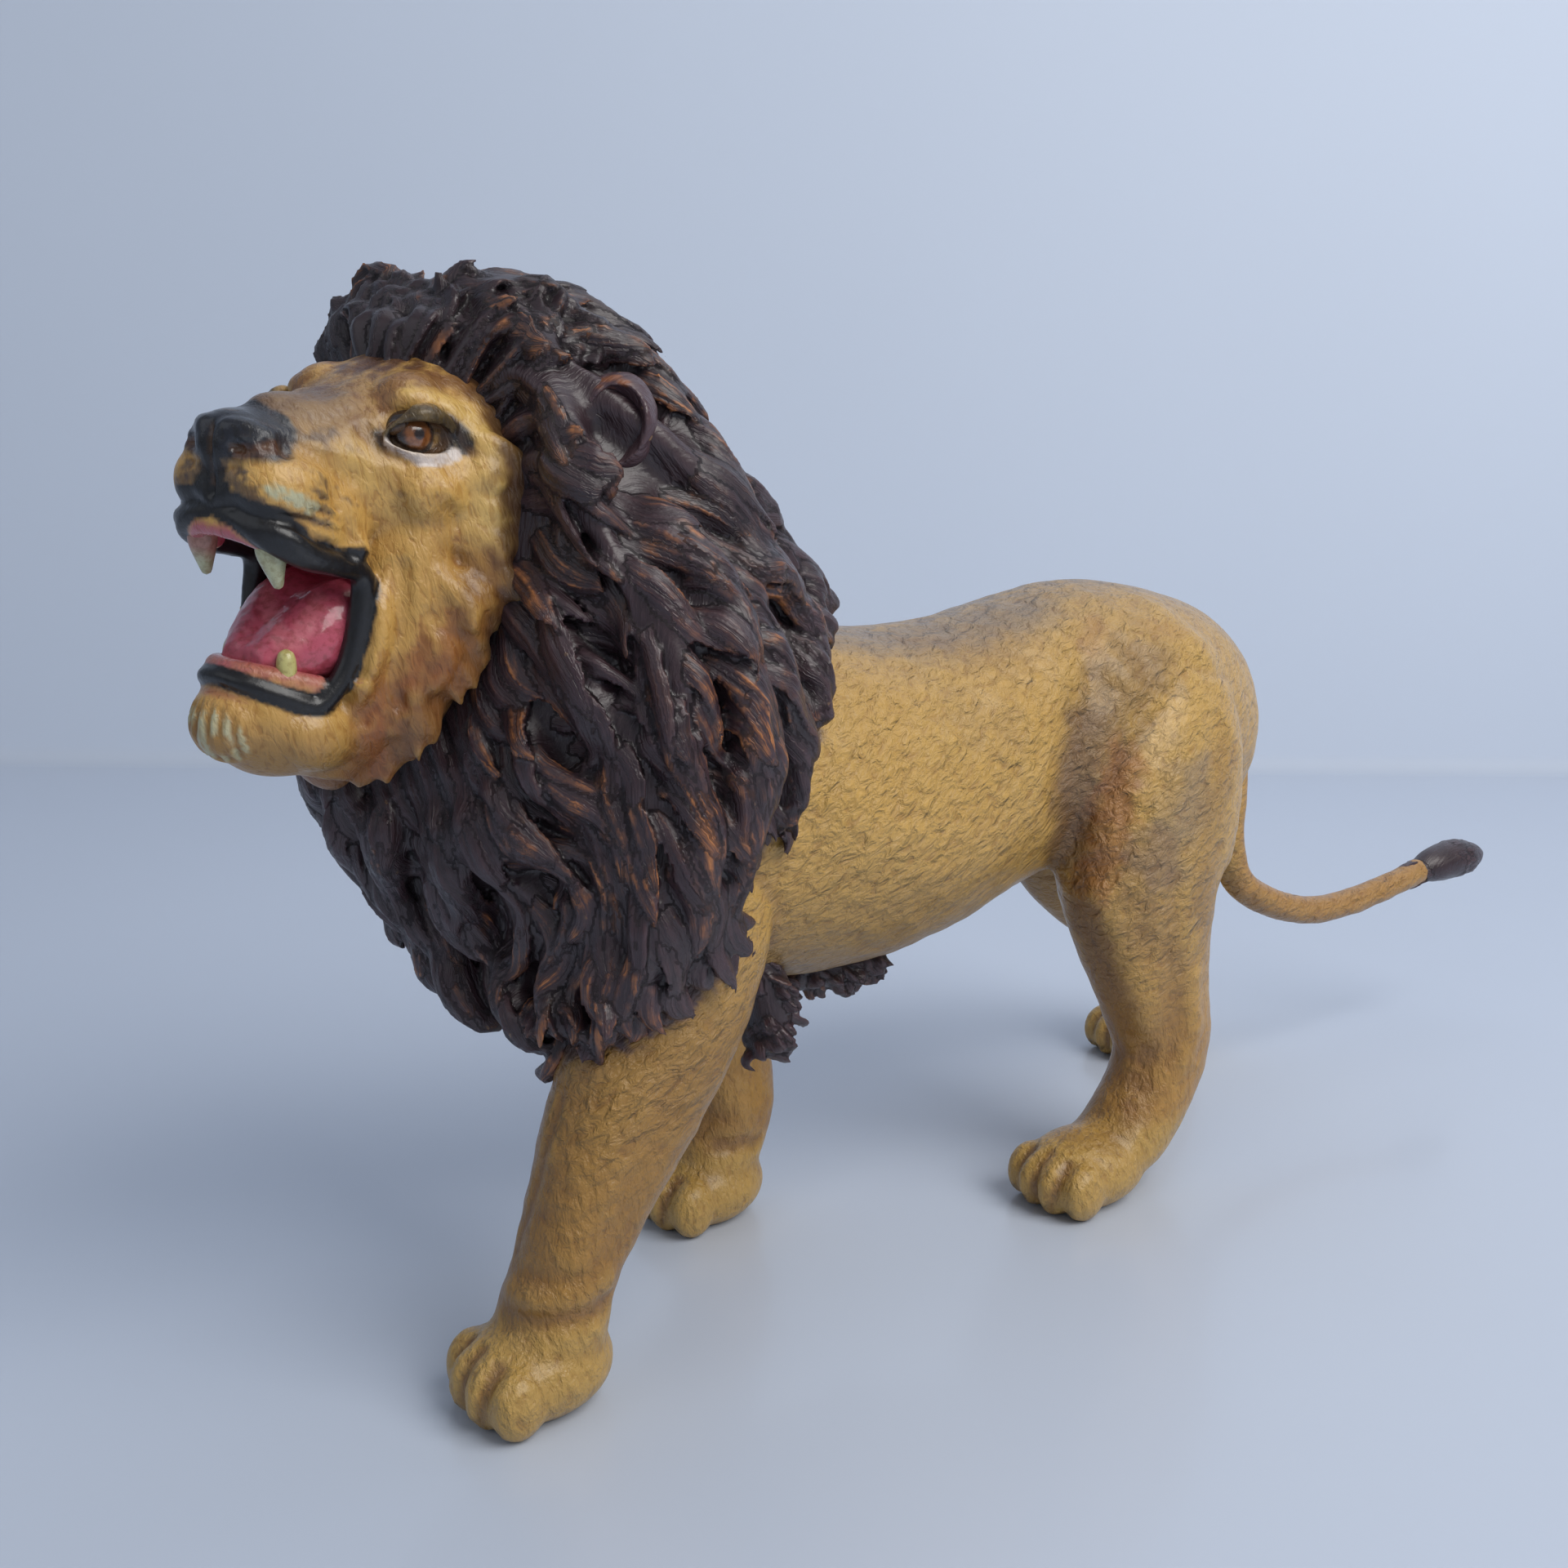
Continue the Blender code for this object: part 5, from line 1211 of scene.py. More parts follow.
def walked(ground, lines, start, normal, length, turn, curl, free=2.0):
    """A path over the ground from a start, along the flow, swaying on its way and free at its end."""
    stations, normals, sides = [], [], []
    place, up = start, normal
    back = ramp(start[1], -66, -50) * ramp(start[2], 46, 68) * SWEPT_BACK
    way = flow(lines, place, up) + back
    step = length / (LOCK_STATIONS - 1)
    for share in np.linspace(0, 1, LOCK_STATIONS):
        pull = flow(lines, place, up) + back
        way = unit(0.6 * way + 0.4 * unit(pull - up * (pull @ up)))
        side = unit(np.cross(up, way))
        swing = turn * math.sin(math.pi * (1.7 * share + 0.2)) + curl * share ** 3
        going = unit(way * math.cos(swing) + side * math.sin(swing))
        stations.append(place)
        normals.append(up)
        sides.append(unit(np.cross(up, going)))
        if share > free:
            place = place + (going + 0.35 * up) * step
            continue
        found, facing, _, _ = ground.find_nearest(Vector(place + going * step + up * 0.5))
        place = np.array(found)
        up = unit(0.7 * up + 0.3 * np.array(facing))
    return np.array(stations), np.array(normals), np.array(sides)


def lock_form(stations, normals, sides, width, thickness, lift, tilt, phase):
    """The skin of one lock, with its strand coordinates."""
    share = np.linspace(0, 1, LOCK_STATIONS)
    girth = np.interp(share, LOCK_PROFILE[:, 0], LOCK_PROFILE[:, 1])[:, None]
    height = np.interp(share, LOCK_PROFILE[:, 0], LOCK_PROFILE[:, 2])[:, None] * lift
    u = np.linspace(-1, 1, LOCK_ACROSS)[None, :]
    dome = 1 - np.abs(u) ** 1.7
    ridges = 0.5 + 0.5 * np.cos(np.pi * (LOCK_RIDGES * u + phase + 0.9 * share[:, None]))
    top = thickness * girth * (0.30 + 0.70 * girth) * dome * (0.60 + 0.52 * ridges)
    across = np.hstack((u * np.ones_like(girth), 0 * girth)) * width * girth
    rise = np.hstack((top, -0.5 * thickness * girth)) + height
    up = normals * math.cos(tilt) + sides * math.sin(tilt)
    side = sides * math.cos(tilt) - normals * math.sin(tilt)
    rings = stations[:, None] + side[:, None] * across[:, :, None] + up[:, None] * rise[:, :, None]
    points, faces = sweep(rings)
    one = np.ones((LOCK_STATIONS, 1))
    crest = np.hstack((ridges * dome, 0 * one)).ravel()
    strand = np.stack((np.hstack((u * np.ones_like(girth), one)).ravel() * width,
                       np.repeat(share, LOCK_ACROSS + 1), np.full(len(points), phase * 7)), axis=-1)
    return points, faces, crest, strand


class Hair:
    """Locks of hair, and what the painter must know of them."""

    def __init__(self):
        self.forms, self.crest, self.strand, self.rust, self.shade = [], [], [], [], []

    def add(self, path, width, thickness, lift, tilt, phase, rust, shade):
        points, faces, crest, strand = lock_form(*path, width, thickness, lift, tilt, phase)
        self.forms.append((points, faces))
        self.crest.append(crest)
        self.strand.append(strand)
        self.rust.append(np.full(len(points), rust))
        self.shade.append(np.full(len(points), shade))

    def moulded(self, name, bases, voxel, smoothing):
        """All the locks melted together with the forms under them, and their paint."""
        forms = [*self.forms, *bases]
        points, faces = joined(forms)
        under = np.vstack([base[0] for base in bases])
        zero = np.zeros(len(under))
        skin = Skin(melted(made_object(name, forms), voxel, smoothing), MANE_DARK)
        corners = np.array([(list(face) * 2)[:4] for face in faces])
        tree = BVHTree.FromPolygons(points.tolist(), faces)
        picks = corners[[tree.find_nearest(Vector(point))[2] for point in skin.points]]
        share = 1 / (((points[picks] - skin.points[:, None]) ** 2).sum(axis=2) + 0.01)
        share /= share.sum(axis=1, keepdims=True)

        def carried(values, fill):
            values = np.concatenate([*values, fill])
            values = values.reshape(len(points), -1)
            return (values[picks] * share[:, :, None]).sum(axis=1)

        crest = carried(self.crest, zero)[:, 0]
        rust = carried(self.rust, zero)[:, 0]
        shade = carried(self.shade, zero)[:, 0]
        strand = carried(self.strand, under * (1.0, 0.1, 0.1))
        hollow = skin.cavity(4)
        ridge = np.clip(-hollow * 5, 0, 1)
        mottle = noise(skin.points, 3.0)
        # MANE_MID over ridges and crests and by each lock's shade value, which is lower on the crown as
        # painted shade
        skin.wash(np.clip(0.10 + 0.75 * ridge + 0.25 * crest + 0.25 * mottle + shade, 0, 1), MANE_MID)
        skin.wash(np.clip(hollow * 7, 0, 1) * 0.7, MANE_DEEP)
        brush = np.clip(rust * (ridge * 1.5 + 0.4 * crest - 0.30 + 0.6 * noise(skin.points, 2.0)) * 1.6, 0, 1)
        skin.gloss = 0.25 + 0.45 * ridge
        return skin, {"rust": brush, "crest": crest * ridge, "strand": strand}


def scattered(points, spacing, rng):
    """Indices of points that keep a distance from each other, in a random order."""
    kept = []
    taken = {}
    for index in rng.permutation(len(points)):
        cell = tuple(np.floor(points[index] / spacing).astype(int))
        cells = [tuple(middle + step - 1 for middle, step in zip(cell, steps))
                 for steps in np.ndindex(3, 3, 3)]
        close = [other for beside in cells for other in taken.get(beside, ())]
        if close and (((points[close] - points[index]) ** 2).sum(axis=1) < spacing ** 2).any():
            continue
        taken.setdefault(cell, []).append(index)
        kept.append(index)
    return kept


def trunk_form(steps):
    rings = []
    across, height = oval(56)
    for y, top, bottom, width in catmull(TRUNK, steps):
        rings.append(np.stack((across * width, np.full(56, y),
                               (top + bottom) / 2 + height * (top - bottom) / 2), axis=-1))
    return sweep(rings)


def points_of(made):
    mesh = made.data
    flat = np.empty(len(mesh.vertices) * 3)
    mesh.vertices.foreach_get("co", flat)
    facing = np.empty(len(mesh.vertices) * 3)
    mesh.vertex_normals.foreach_get("vector", facing)
    return flat.reshape(-1, 3), facing.reshape(-1, 3)


def make_hood(grid, forms, inward):
    """The mane without its locks, a little smaller than the solid."""
    hood = melted(made_object("hood", [sweep(grid), *forms]), 0.6, 3)
    points, normals = points_of(hood)
    faces = [list(face.vertices) for face in hood.data.polygons]
    bpy.data.objects.remove(hood)
    forward, _, up = in_head(points).T
    brow = ramp(forward, -6, 0) * ramp(up, 10, 14)
    return points - normals * inward - HEAD[0] * (2.2 * brow)[:, None], faces


def add_fringe(hair, face_tree, hood_tree, rng):
    """Locks that start on the forehead and sweep up and back over the front of the hood."""
    line = catmull(HAIRLINE, 4)
    for side in (1, -1):
        for forward, left, up in line[1:]:
            for layer in (0, 1, 2):
                if side < 0 and left < 0.5:
                    continue
                out = np.array((0.10, (0.4 if side > 0 else 0.05) * left / 13, 0.95 - 0.045 * left))
                root = np.array((forward - 1.8 * layer, left, up + 1.9 * layer)) + rng.normal(0, 0.35, 3)
                start = snapped(face_tree, [on_head(root * (1, side, 1))])[0]
                reach = rng.uniform(0.6, 1.15) * (1.0 if side > 0 else 0.7)
                middle = root + np.array((-1.2, 0.05 * left, 0)) + out * 1.6 * reach
                far = root + np.array((-6.0 * reach, 0.12 * left, 0)) + out * 3.2 * reach
                middle = on_head(middle * (1, side, 1))
                far = snapped(hood_tree, [on_head(far * (1, side, 1))])[0]
                sway = HEAD[1] * rng.normal(0, 1.5)
                path = plain_path([start - HEAD[2] * 1.3, middle + sway,
                                   (middle + far) / 2 + HEAD[2] * 1.0 - sway * 0.6, far + sway * 0.8],
                                  HEAD[1] + HEAD[0] * 0.05 * left * side)
                # these locks get a darker tone, as painted shade on the crown
                hair.add(path, rng.uniform(0.9, 1.5), rng.uniform(0.7, 1.1), rng.uniform(0.3, 1.0),
                         rng.normal(0, 0.3), rng.uniform(0, 2), 0.5 * (rng.random() < 0.3), -0.5)


def make_mane(face):
    """The mane: locks of hair laid over a hood along its big locks, and moulded into it."""
    rng = np.random.default_rng(21)
    grid = hood_rings()
    forms, lines = clumps(grid)
    under = make_hood(grid, forms, 1.0)
    hood_tree = BVHTree.FromPolygons(under[0].tolist(), under[1])
    ground = melted(made_object("ground", [under, trunk_form(4), limb(LEGS["front_left"]),
                                           limb(LEGS["front_right"])]), 0.7, 3)
    points, normals = points_of(ground)
    tree = tree_of(points, ground)
    face_tree = tree_of(face.points, face.made)
    rust_places = seen(tree, RUST_SPOTS)
    rust_places = np.vstack((rust_places, other_side(rust_places)))
    near = np.array([hood_tree.find_nearest(Vector(point))[3] for point in points]) < 0.7
    candidates = np.flatnonzero(near)
    kept = scattered(points[candidates], LOCK_SPACING, rng)
    ears = [on_head(place) for place, _ in EARS]
    hair = Hair()
    for index in candidates[kept]:
        start, normal = points[index], normals[index]
        spot, facing, _, gap = face_tree.find_nearest(Vector(start))
        if (start - np.array(spot)) @ np.array(facing) < 0 and gap > 2.0:
            continue
        forward, left, up = HEAD @ (start - HEAD_ORIGIN)
        if forward > OPENING_FRONT and abs(left) < OPENING_SIDE and OPENING_LOW < up < OPENING_HIGH:
            continue
        swirl = noise(np.stack((start + 5, start + 60)), 8.0)
        turn = swirl[0] + 0.14 * rng.normal()
        curl = swirl[1] + 0.22 * rng.normal()
        length = rng.uniform(*LOCK_LENGTHS) * (0.7 if start[2] > 97 else 1.0)
        raised = 1 + 1.1 * ramp(start[1], -64, -54) * ramp(start[2], 60, 75)
        width = rng.uniform(*LOCK_WIDTHS)
        path = walked(tree, lines, start, normal, length, turn, curl)
        beyond = hood_tree.find_nearest(Vector(path[0][-1]))[3]
        if beyond > OVERHANG:
            reach = max(0.35, 2.2 / beyond)
            path = walked(tree, lines, start, normal, length * reach, turn, curl, 0.35)
            if hood_tree.find_nearest(Vector(path[0][-1]))[3] > OVERHANG_LIMIT:
                continue
        if min(np.linalg.norm(path[0] - ear, axis=1).min() for ear in ears) < EAR_CLEARANCE:
            continue
        gaps = np.linalg.norm(rust_places - path[0][LOCK_STATIONS // 2], axis=1).min()
        rust = np.clip(1.15 - gaps / 6, 0, 1) + 0.7 * (rng.random() < RUST_CHANCE)
        # the last value is the lock's tone: random, and darker above 94 mm as painted shade on the crown
        hair.add(path, width, rng.uniform(*LOCK_THICKNESSES), rng.uniform(*LOCK_LIFTS) * raised,
                 rng.normal(0, 0.18), rng.uniform(0, 2), rust, 0.12 * rng.normal() - 0.5 * (start[2] > 94))
    add_fringe(hair, face_tree, hood_tree, rng)
    skin, facts = hair.moulded("mane", [under], MANE_VOXEL, 1)
    whole = skin.finish(facts)
    bpy.data.objects.remove(ground)
    return [parted(whole, name, index) for index, name in enumerate(MANE_PIECES)], hood_tree


def parted(whole, name, group):
    """The left, right or lower part of the whole mane."""
    form = bmesh.new()
    form.from_mesh(whole.data)
    others = []
    for face in form.faces:
        middle = face.calc_center_median() / MM
        place = 2 if middle.z < CHEST_HEIGHT else int(middle.x < SHIFT[0])
        if place != group:
            others.append(face)
    bmesh.ops.delete(form, geom=others, context="FACES")
    mesh = bpy.data.meshes.new(name)
    form.to_mesh(mesh)
    form.free()
    mesh.shade_smooth()
    made = bpy.data.objects.new(name, mesh)
    bpy.context.scene.collection.objects.link(made)
    if group == len(MANE_PIECES) - 1:
        bpy.data.objects.remove(whole)
    return made


# the tufts: rows of centre and girth
BELLY_FRINGE = ((0, -26, 33.2, 2.4), (0, -18, 32.4, 2.6), (0.3, -9, 32.0, 2.7), (0.3, -2, 31.6, 2.5),
                (0, 2.5, 32.6, 1.3))
ELBOW_TUFT = ((8.0, -23, 39.5, 2.4), (8.4, -20, 35, 3.2), (8.5, -19.4, 31, 2.9), (8.3, -20.6, 27.4, 1.5))
FAR_ELBOW_BACK = 7.0
TAIL_LOCKS, BELLY_LOCKS, ELBOW_LOCKS = 46, 110, 60
TAIL_END = 128.5


def plain_path(points, side):
    """A lock's path through given points, with a steady side direction."""
    rows = catmull(points, 6)
    stations = rows[np.linspace(0, len(rows) - 1, LOCK_STATIONS).round().astype(int)]
    along = unit(np.gradient(stations, axis=0))
    sides = unit(np.asarray(side, float) - along * (along @ np.asarray(side, float))[:, None])
    return stations, np.cross(along, sides), sides


def make_tufts():
    """The tail's tuft, the fringe under the belly and the tufts at the elbows."""
    rng = np.random.default_rng(9)
    hair = Hair()
    tail = catmull(TAIL[9:], 6)
    for _ in range(TAIL_LOCKS):
        angle = rng.uniform(0, 2 * math.pi)
        along = rng.uniform(0, 0.72)
        index = int(along * (len(tail) - 1))
        x, y, z, radius = tail[index]
        length = rng.uniform(6.0, 9.5) * (1 - 0.4 * along)
        outward = np.array((math.cos(angle), 0, math.sin(angle)))
        reach = np.array([tail[min(index + int(k), len(tail) - 1)] for k in (2, 5, 9)])
        ends = [np.array((x, y, z)) + outward * radius * 0.80]
        for share, row in zip((0.4, 0.75, 1.0), reach):
            centre = np.array((row[0], min(y + length * share, TAIL_END), row[2]))
            ends.append(centre + outward * max(row[3] * (1.0 - 0.45 * share), 0.3))
        side = np.cross(outward, (0, 1, 0))
        hair.add(plain_path(ends, side), rng.uniform(1.0, 1.5), 0.5, 0.1, 0.15 * rng.normal(),
                 rng.uniform(0, 2), 0.0, 0.25)
    core = tube([row[:3] for row in TAIL[10:]], [row[3] * 0.92 for row in TAIL[10:]], 5, 24)
    # The belly's fringe is a low ridge of short curls, and longer ones hang behind the elbows
    bases = [core]
    masses = [(BELLY_FRINGE, 1, BELLY_LOCKS)] + [(ELBOW_TUFT, side, ELBOW_LOCKS) for side in (1, -1)]
    for rows, side, count in masses:
        centre = np.array([row[:3] for row in rows]) * (side, 1, 1) + (0, FAR_ELBOW_BACK * (side < 0), 0)
        girths = [row[3] for row in rows]
        bases.append(tube(centre, np.array(girths) * 0.8, 5, 24))
        line = catmull([(*point, girth) for point, girth in zip(centre, girths)], 8)
        for _ in range(count):
            *place, girth = line[rng.integers(len(line))]
            angle = rng.uniform(0, 2 * math.pi)
            if rows is BELLY_FRINGE:
                outward = np.array((math.cos(angle), 0, math.sin(angle)))
            else:
                outward = np.array((math.cos(angle), math.sin(angle) * (side > 0), 0.2))
            outward = unit(outward - (0, 0, 0.4))
            root = np.array(place) + outward * girth * 0.55
            swing = rng.normal(0, 1.0)
            tip = root + outward * 0.5 + (0.8 * swing, rng.uniform(0.8, 2.2), -rng.uniform(0.6, 2.0))
            middle = (root + tip) / 2 + outward * 0.8 + (-0.7 * swing, 0, 0)
            hair.add(plain_path([root - outward * 0.8, root, middle, tip], (1, 0.4 * rng.normal(), 0.2)),
                     rng.uniform(0.9, 1.5), 0.8, 0.2, 0.3 * rng.normal(), rng.uniform(0, 2),
                     0.6 * (rng.random() < 0.15), 0.2)
    skin, facts = hair.moulded("dark_tufts", bases, TUFT_VOXEL, 1)
    return skin.finish(facts)


def make_ears():
    forms, hollows = [], []
    for place, side in EARS:
        place = np.array(place)
        forms.append(ball(on_head(place), EAR_RADII, HEAD))
        forms.append(ball(on_head(place + (-2.0, -1.6 * side, -1.5)), (4.2, 4.2, 5.0), HEAD))
        ahead, outward, above = EAR_HOLLOW
        hollows.append(ball(on_head(place + (ahead, outward * side, above)), EAR_HOLLOW_RADII, HEAD))
    made = melted(made_object("ears", forms), 0.35, 3)
    for hollow in hollows:
        cut(made, [hollow])
    made = melted(made, 0.28, 2)
    skin = Skin(made, MANE_MID)
    grain = np.stack((skin.points[:, 0], skin.points[:, 1] * 0.4, skin.points[:, 2] * 0.5), axis=-1)
    skin.points += skin.normals * (noise(grain, 0.9) * 0.16)[:, None]
    skin.refresh()
    for place, side in EARS:
        place = np.array(place)
        rim = [on_head(place + (2.4, side * (1.0 + 3.0 * math.cos(turn)), 3.8 * math.sin(turn)))
               for turn in np.linspace(-1.2, math.pi * 0.8, 14)]
        skin.tint(rim, 1.0, RUST, 0.75, 0.6, 0.7, 1.6)
        skin.tint([on_head(place + (1.2, side * 0.8, 0)), on_head(place + (0, side * 0.5, -0.5))], 2.6,
                  MANE_DARK, 0.95, 0.1, 1.0, 2.5)
    skin.gloss[:] = 0.3
    zero = np.zeros(len(skin.points))
    return skin.finish({"crest": zero + 0.4, "rust": zero, "strand": skin.points * (1.0, 0.2, 0.2)})


# tongue, teeth and eyes
# the tongue: forward, up, half width and half thickness
TONGUE = (
    (-1.5, -11.2, 4.6, 4.6), (1.0, -11.4, 6.0, 5.2), (4.4, -12.8, 6.4, 5.4), (7.6, -14.0, 5.7, 4.8),
    (10.2, -15.7, 4.3, 3.2), (12.3, -17.0, 2.5, 1.5),
)
# painted highlights: pale streaks on the tongue, as places in the photograph (pixels)
TONGUE_HIGHLIGHT_STREAKS = (((321, 715), (331, 747), (345, 785)), ((409, 704), (386, 741), (361, 785)))
UPPER_FANG = ((14.9, 4.0, -6.6), (14.4, 4.2, -7.8), (13.4, 4.4, -10.2))
UPPER_FANG_RADII = (1.15, 1.20, 0.42)
LOWER_FANG = ((10.8, 4.1, -17.8), (11.0, 4.0, -16.4), (11.1, 3.9, -15.6))
LOWER_FANG_RADII = (0.90, 0.85, 0.65)
FAR_FANG_BACK = 1.2
GAZE = (0.34, 0.93, 0.06)
IRIS_RADIUS, PUPIL_RADIUS = 1.60, 0.62


def make_tongue():
    rings = []
    across, height = oval(28, 0.85)
    for forward, up, width, thick in catmull(TONGUE, 6):
        lift = height * thick
        groove = -0.36 * thick * np.exp(-(across / 0.38) ** 2) * (height > 0)
        rings.append(on_head(np.stack((np.full(28, forward), across * width, up + lift + groove), axis=-1)))
    skin = Skin(melted(made_object("tongue_skin", [sweep(rings)]), 0.26, 3), TONGUE_PINK)
    skin.points += skin.normals * (noise(skin.points, 0.8) * 0.07)[:, None]
    skin.refresh()
    tree = tree_of(skin.points, skin.made)
    # painted highlights along the tongue's edges, fainter on the far side
    for streak in TONGUE_HIGHLIGHT_STREAKS:
        path = seen(tree, streak)
        skin.tint(path, 1.25, TONGUE_HIGHLIGHT_PINK, 0.75, 0.35, 0.8, 1.3)
        skin.tint(snapped(tree, other_side(path)), 1.25, TONGUE_HIGHLIGHT_PINK, 0.5, 0.35, 0.8, 1.3)
    skin.gloss[:] = 1.0
    return skin.finish()


def make_teeth():
    forms = []
    for side in (1, -1):
        lower = np.array(LOWER_FANG) - (FAR_FANG_BACK * (side < 0), 0, 0)
        for path, radii in ((np.array(UPPER_FANG), UPPER_FANG_RADII), (lower, LOWER_FANG_RADII)):
            forms.append(tube(on_head(path * (1, side, 1)), radii, 5, 18))
    skin = Skin(melted(made_object("teeth", forms), 0.16, 2), IVORY)
    _, left, up = in_head(skin.points).T
    root = ramp(up, -7.2, -5.95) + ramp(up, -17.2, -18.45)
    skin.wash(np.clip(root, 0, 1) * 0.75, TOOTH_ROOT)
    skin.wash(np.clip(0.3 + 0.5 * noise(skin.points, 1.2), 0, 1) * 0.35, TOOTH_STAIN)
    skin.wash(ramp(up, -12, -13) * 0.7, NUB_YELLOW)
    far = (left < 0) & (up > -12)
    skin.wash(ramp(up, -9.4, -8.15) * far * 0.75, FAR_TOOTH_ROOT)
    skin.gloss[:] = 0.9
    return skin.finish()


def make_eyes():
    centres = [np.array(EYE) * (1, side, 1) for side in (1, -1)]
    forms = [ball(on_head(centre), (EYE_RADIUS,) * 3, HEAD) for centre in centres]
    skin = Skin(melted(made_object("eyes", forms), 0.14, 1), EYE_DARK)
    for centre, side in zip(centres, (1, -1)):
        front = on_head(centre + unit(np.array(GAZE) * (1, side, 1)) * EYE_RADIUS)
        skin.tint(front, IRIS_RADIUS, IRIS_BROWN, 1.0, 0.10, 0.4, 4)
        skin.tint(front, PUPIL_RADIUS, PUPIL_BLACK, 1.0, 0.04, 0.4, 4)
    skin.gloss[:] = 1.0
    return skin.finish()


# materials
STRAND_PALE = (0.078, 0.047, 0.052, 1)
STRAND_RUST = (0.50, 0.185, 0.055, 1)
STRAND_CHIP = (0.50, 0.30, 0.12, 1)


class Paint:
    """A procedural material, built node by node."""

    def __init__(self, name, coat=0.25, coat_roughness=0.22):
        self.material = bpy.data.materials.new(name)
        self.material.use_nodes = True
        self.tree = self.material.node_tree
        self.shader = self.tree.nodes["Principled BSDF"]
        self.shader.inputs["Coat Weight"].default_value = coat
        self.shader.inputs["Coat Roughness"].default_value = coat_roughness
        self.shader.inputs["IOR"].default_value = 1.5

    def node(self, kind, inputs=None, **settings):
        made = self.tree.nodes.new("ShaderNode" + kind)
        for name, value in settings.items():
            setattr(made, name, value)
        for name, value in (inputs or {}).items():
            self.feed(made.inputs[name], value)
        return made

    def feed(self, socket, value):
        if isinstance(value, bpy.types.NodeSocket):
            self.tree.links.new(value, socket)
        else:
            socket.default_value = value

    def attribute(self, name, output="Fac"):
        return self.node("Attribute", attribute_name=name).outputs[output]

    def math(self, operation, first, second=0.0, clamp=False):
        return self.node("Math", {0: first, 1: second}, operation=operation, use_clamp=clamp).outputs[0]

    def mixed(self, share, first, second, blend="MIX"):
        made = self.node("Mix", data_type="RGBA", blend_type=blend)
        self.feed(made.inputs[0], share)
        self.feed(made.inputs[6], first)
        self.feed(made.inputs[7], second)
        return made.outputs[2]

    def ranged(self, value, low, high, new_low=0.0, new_high=1.0):
        return self.node("MapRange", {0: value, 1: low, 2: high, 3: new_low, 4: new_high}).outputs[0]

    def place(self, turn=(0, 0, 0), stretch=(1, 1, 1)):
        """Places in metres, turned and stretched."""
        where = self.node("TexCoord").outputs["Object"]
        turned = self.node("Mapping", {"Vector": where, "Rotation": turn})
        return self.node("Mapping", {"Vector": turned.outputs[0], "Scale": stretch}).outputs[0]

    def noise(self, where, scale, detail=3.0, roughness=0.55, distortion=0.0):
        made = self.node("TexNoise", {"Vector": where, "Scale": scale, "Detail": detail,
                                      "Roughness": roughness, "Distortion": distortion})
        return made.outputs[0]

    def bump(self, height, distance, strength=1.0, under=None):
        made = self.node("Bump", {"Height": height, "Distance": distance, "Strength": strength})
        if under is not None:
            self.tree.links.new(under, made.inputs["Normal"])
        return made.outputs[0]

    def finish(self, colour, roughness, normal):
        self.feed(self.shader.inputs["Base Color"], colour)
        self.feed(self.shader.inputs["Roughness"], roughness)
        self.feed(self.shader.inputs["Normal"], normal)
        return self.material

    def shaded(self, colour, shade, amount):
        """A colour multiplied by a shade, as much as an amount says."""
        return self.mixed(amount, colour, self.mixed(1.0, colour, (*shade, 1), "MULTIPLY"))

    def less(self, value, amount, share):
        """A value less a share of an amount."""
        return self.math("SUBTRACT", value, self.math("MULTIPLY", amount, share))


def coat_paint():
    paint = Paint("coat_paint", 0.38, 0.24)
    legs = paint.attribute("legs")
    flank = paint.place((math.radians(-28), 0, 0), (1.0, 0.60, 1.15))
    limb_way = paint.place((math.radians(-8), 0, 0), (1.15, 1.15, 0.55))
    fur = paint.noise(flank, 900, 3.0, 0.55, 0.6)
    leg_fur = paint.noise(limb_way, 1000, 3.0, 0.55, 0.4)
    height = paint.node("Mix", {0: legs, 2: fur, 3: leg_fur}).outputs[0]
    tufts = paint.noise(flank, 470, 1.5, 0.5, 0.6)
    strokes = paint.noise(flank, 520, 3.0, 0.6, 0.4)
    bare = paint.attribute("paint", "Color")
    dark = paint.mixed(1.0, bare, (0.58, 0.46, 0.34, 1), "MULTIPLY")
    pale = paint.mixed(1.0, bare, (1.16, 1.15, 1.12, 1), "MULTIPLY")
    colour = paint.mixed(paint.ranged(height, 0.46, 0.30, 0.0, 0.55), bare, dark)
    colour = paint.mixed(paint.ranged(height, 0.56, 0.74, 0.0, 0.7), colour, pale)
    colour = paint.mixed(paint.ranged(strokes, 0.36, 0.26, 0.0, 0.35), colour, dark)
    roughness = paint.less(paint.ranged(strokes, 0.3, 0.7, 0.36, 0.50), paint.attribute("gloss"), 0.18)
    normal = paint.bump(tufts, paint.less(0.0011, legs, 0.0007), 0.85)
    normal = paint.bump(height, paint.less(0.0009, legs, 0.0003), 1.0, normal)
    normal = paint.bump(paint.noise(paint.place(), 4200, 2.0, 0.6), 0.00010, 0.6, normal)
    return paint.finish(colour, roughness, normal)


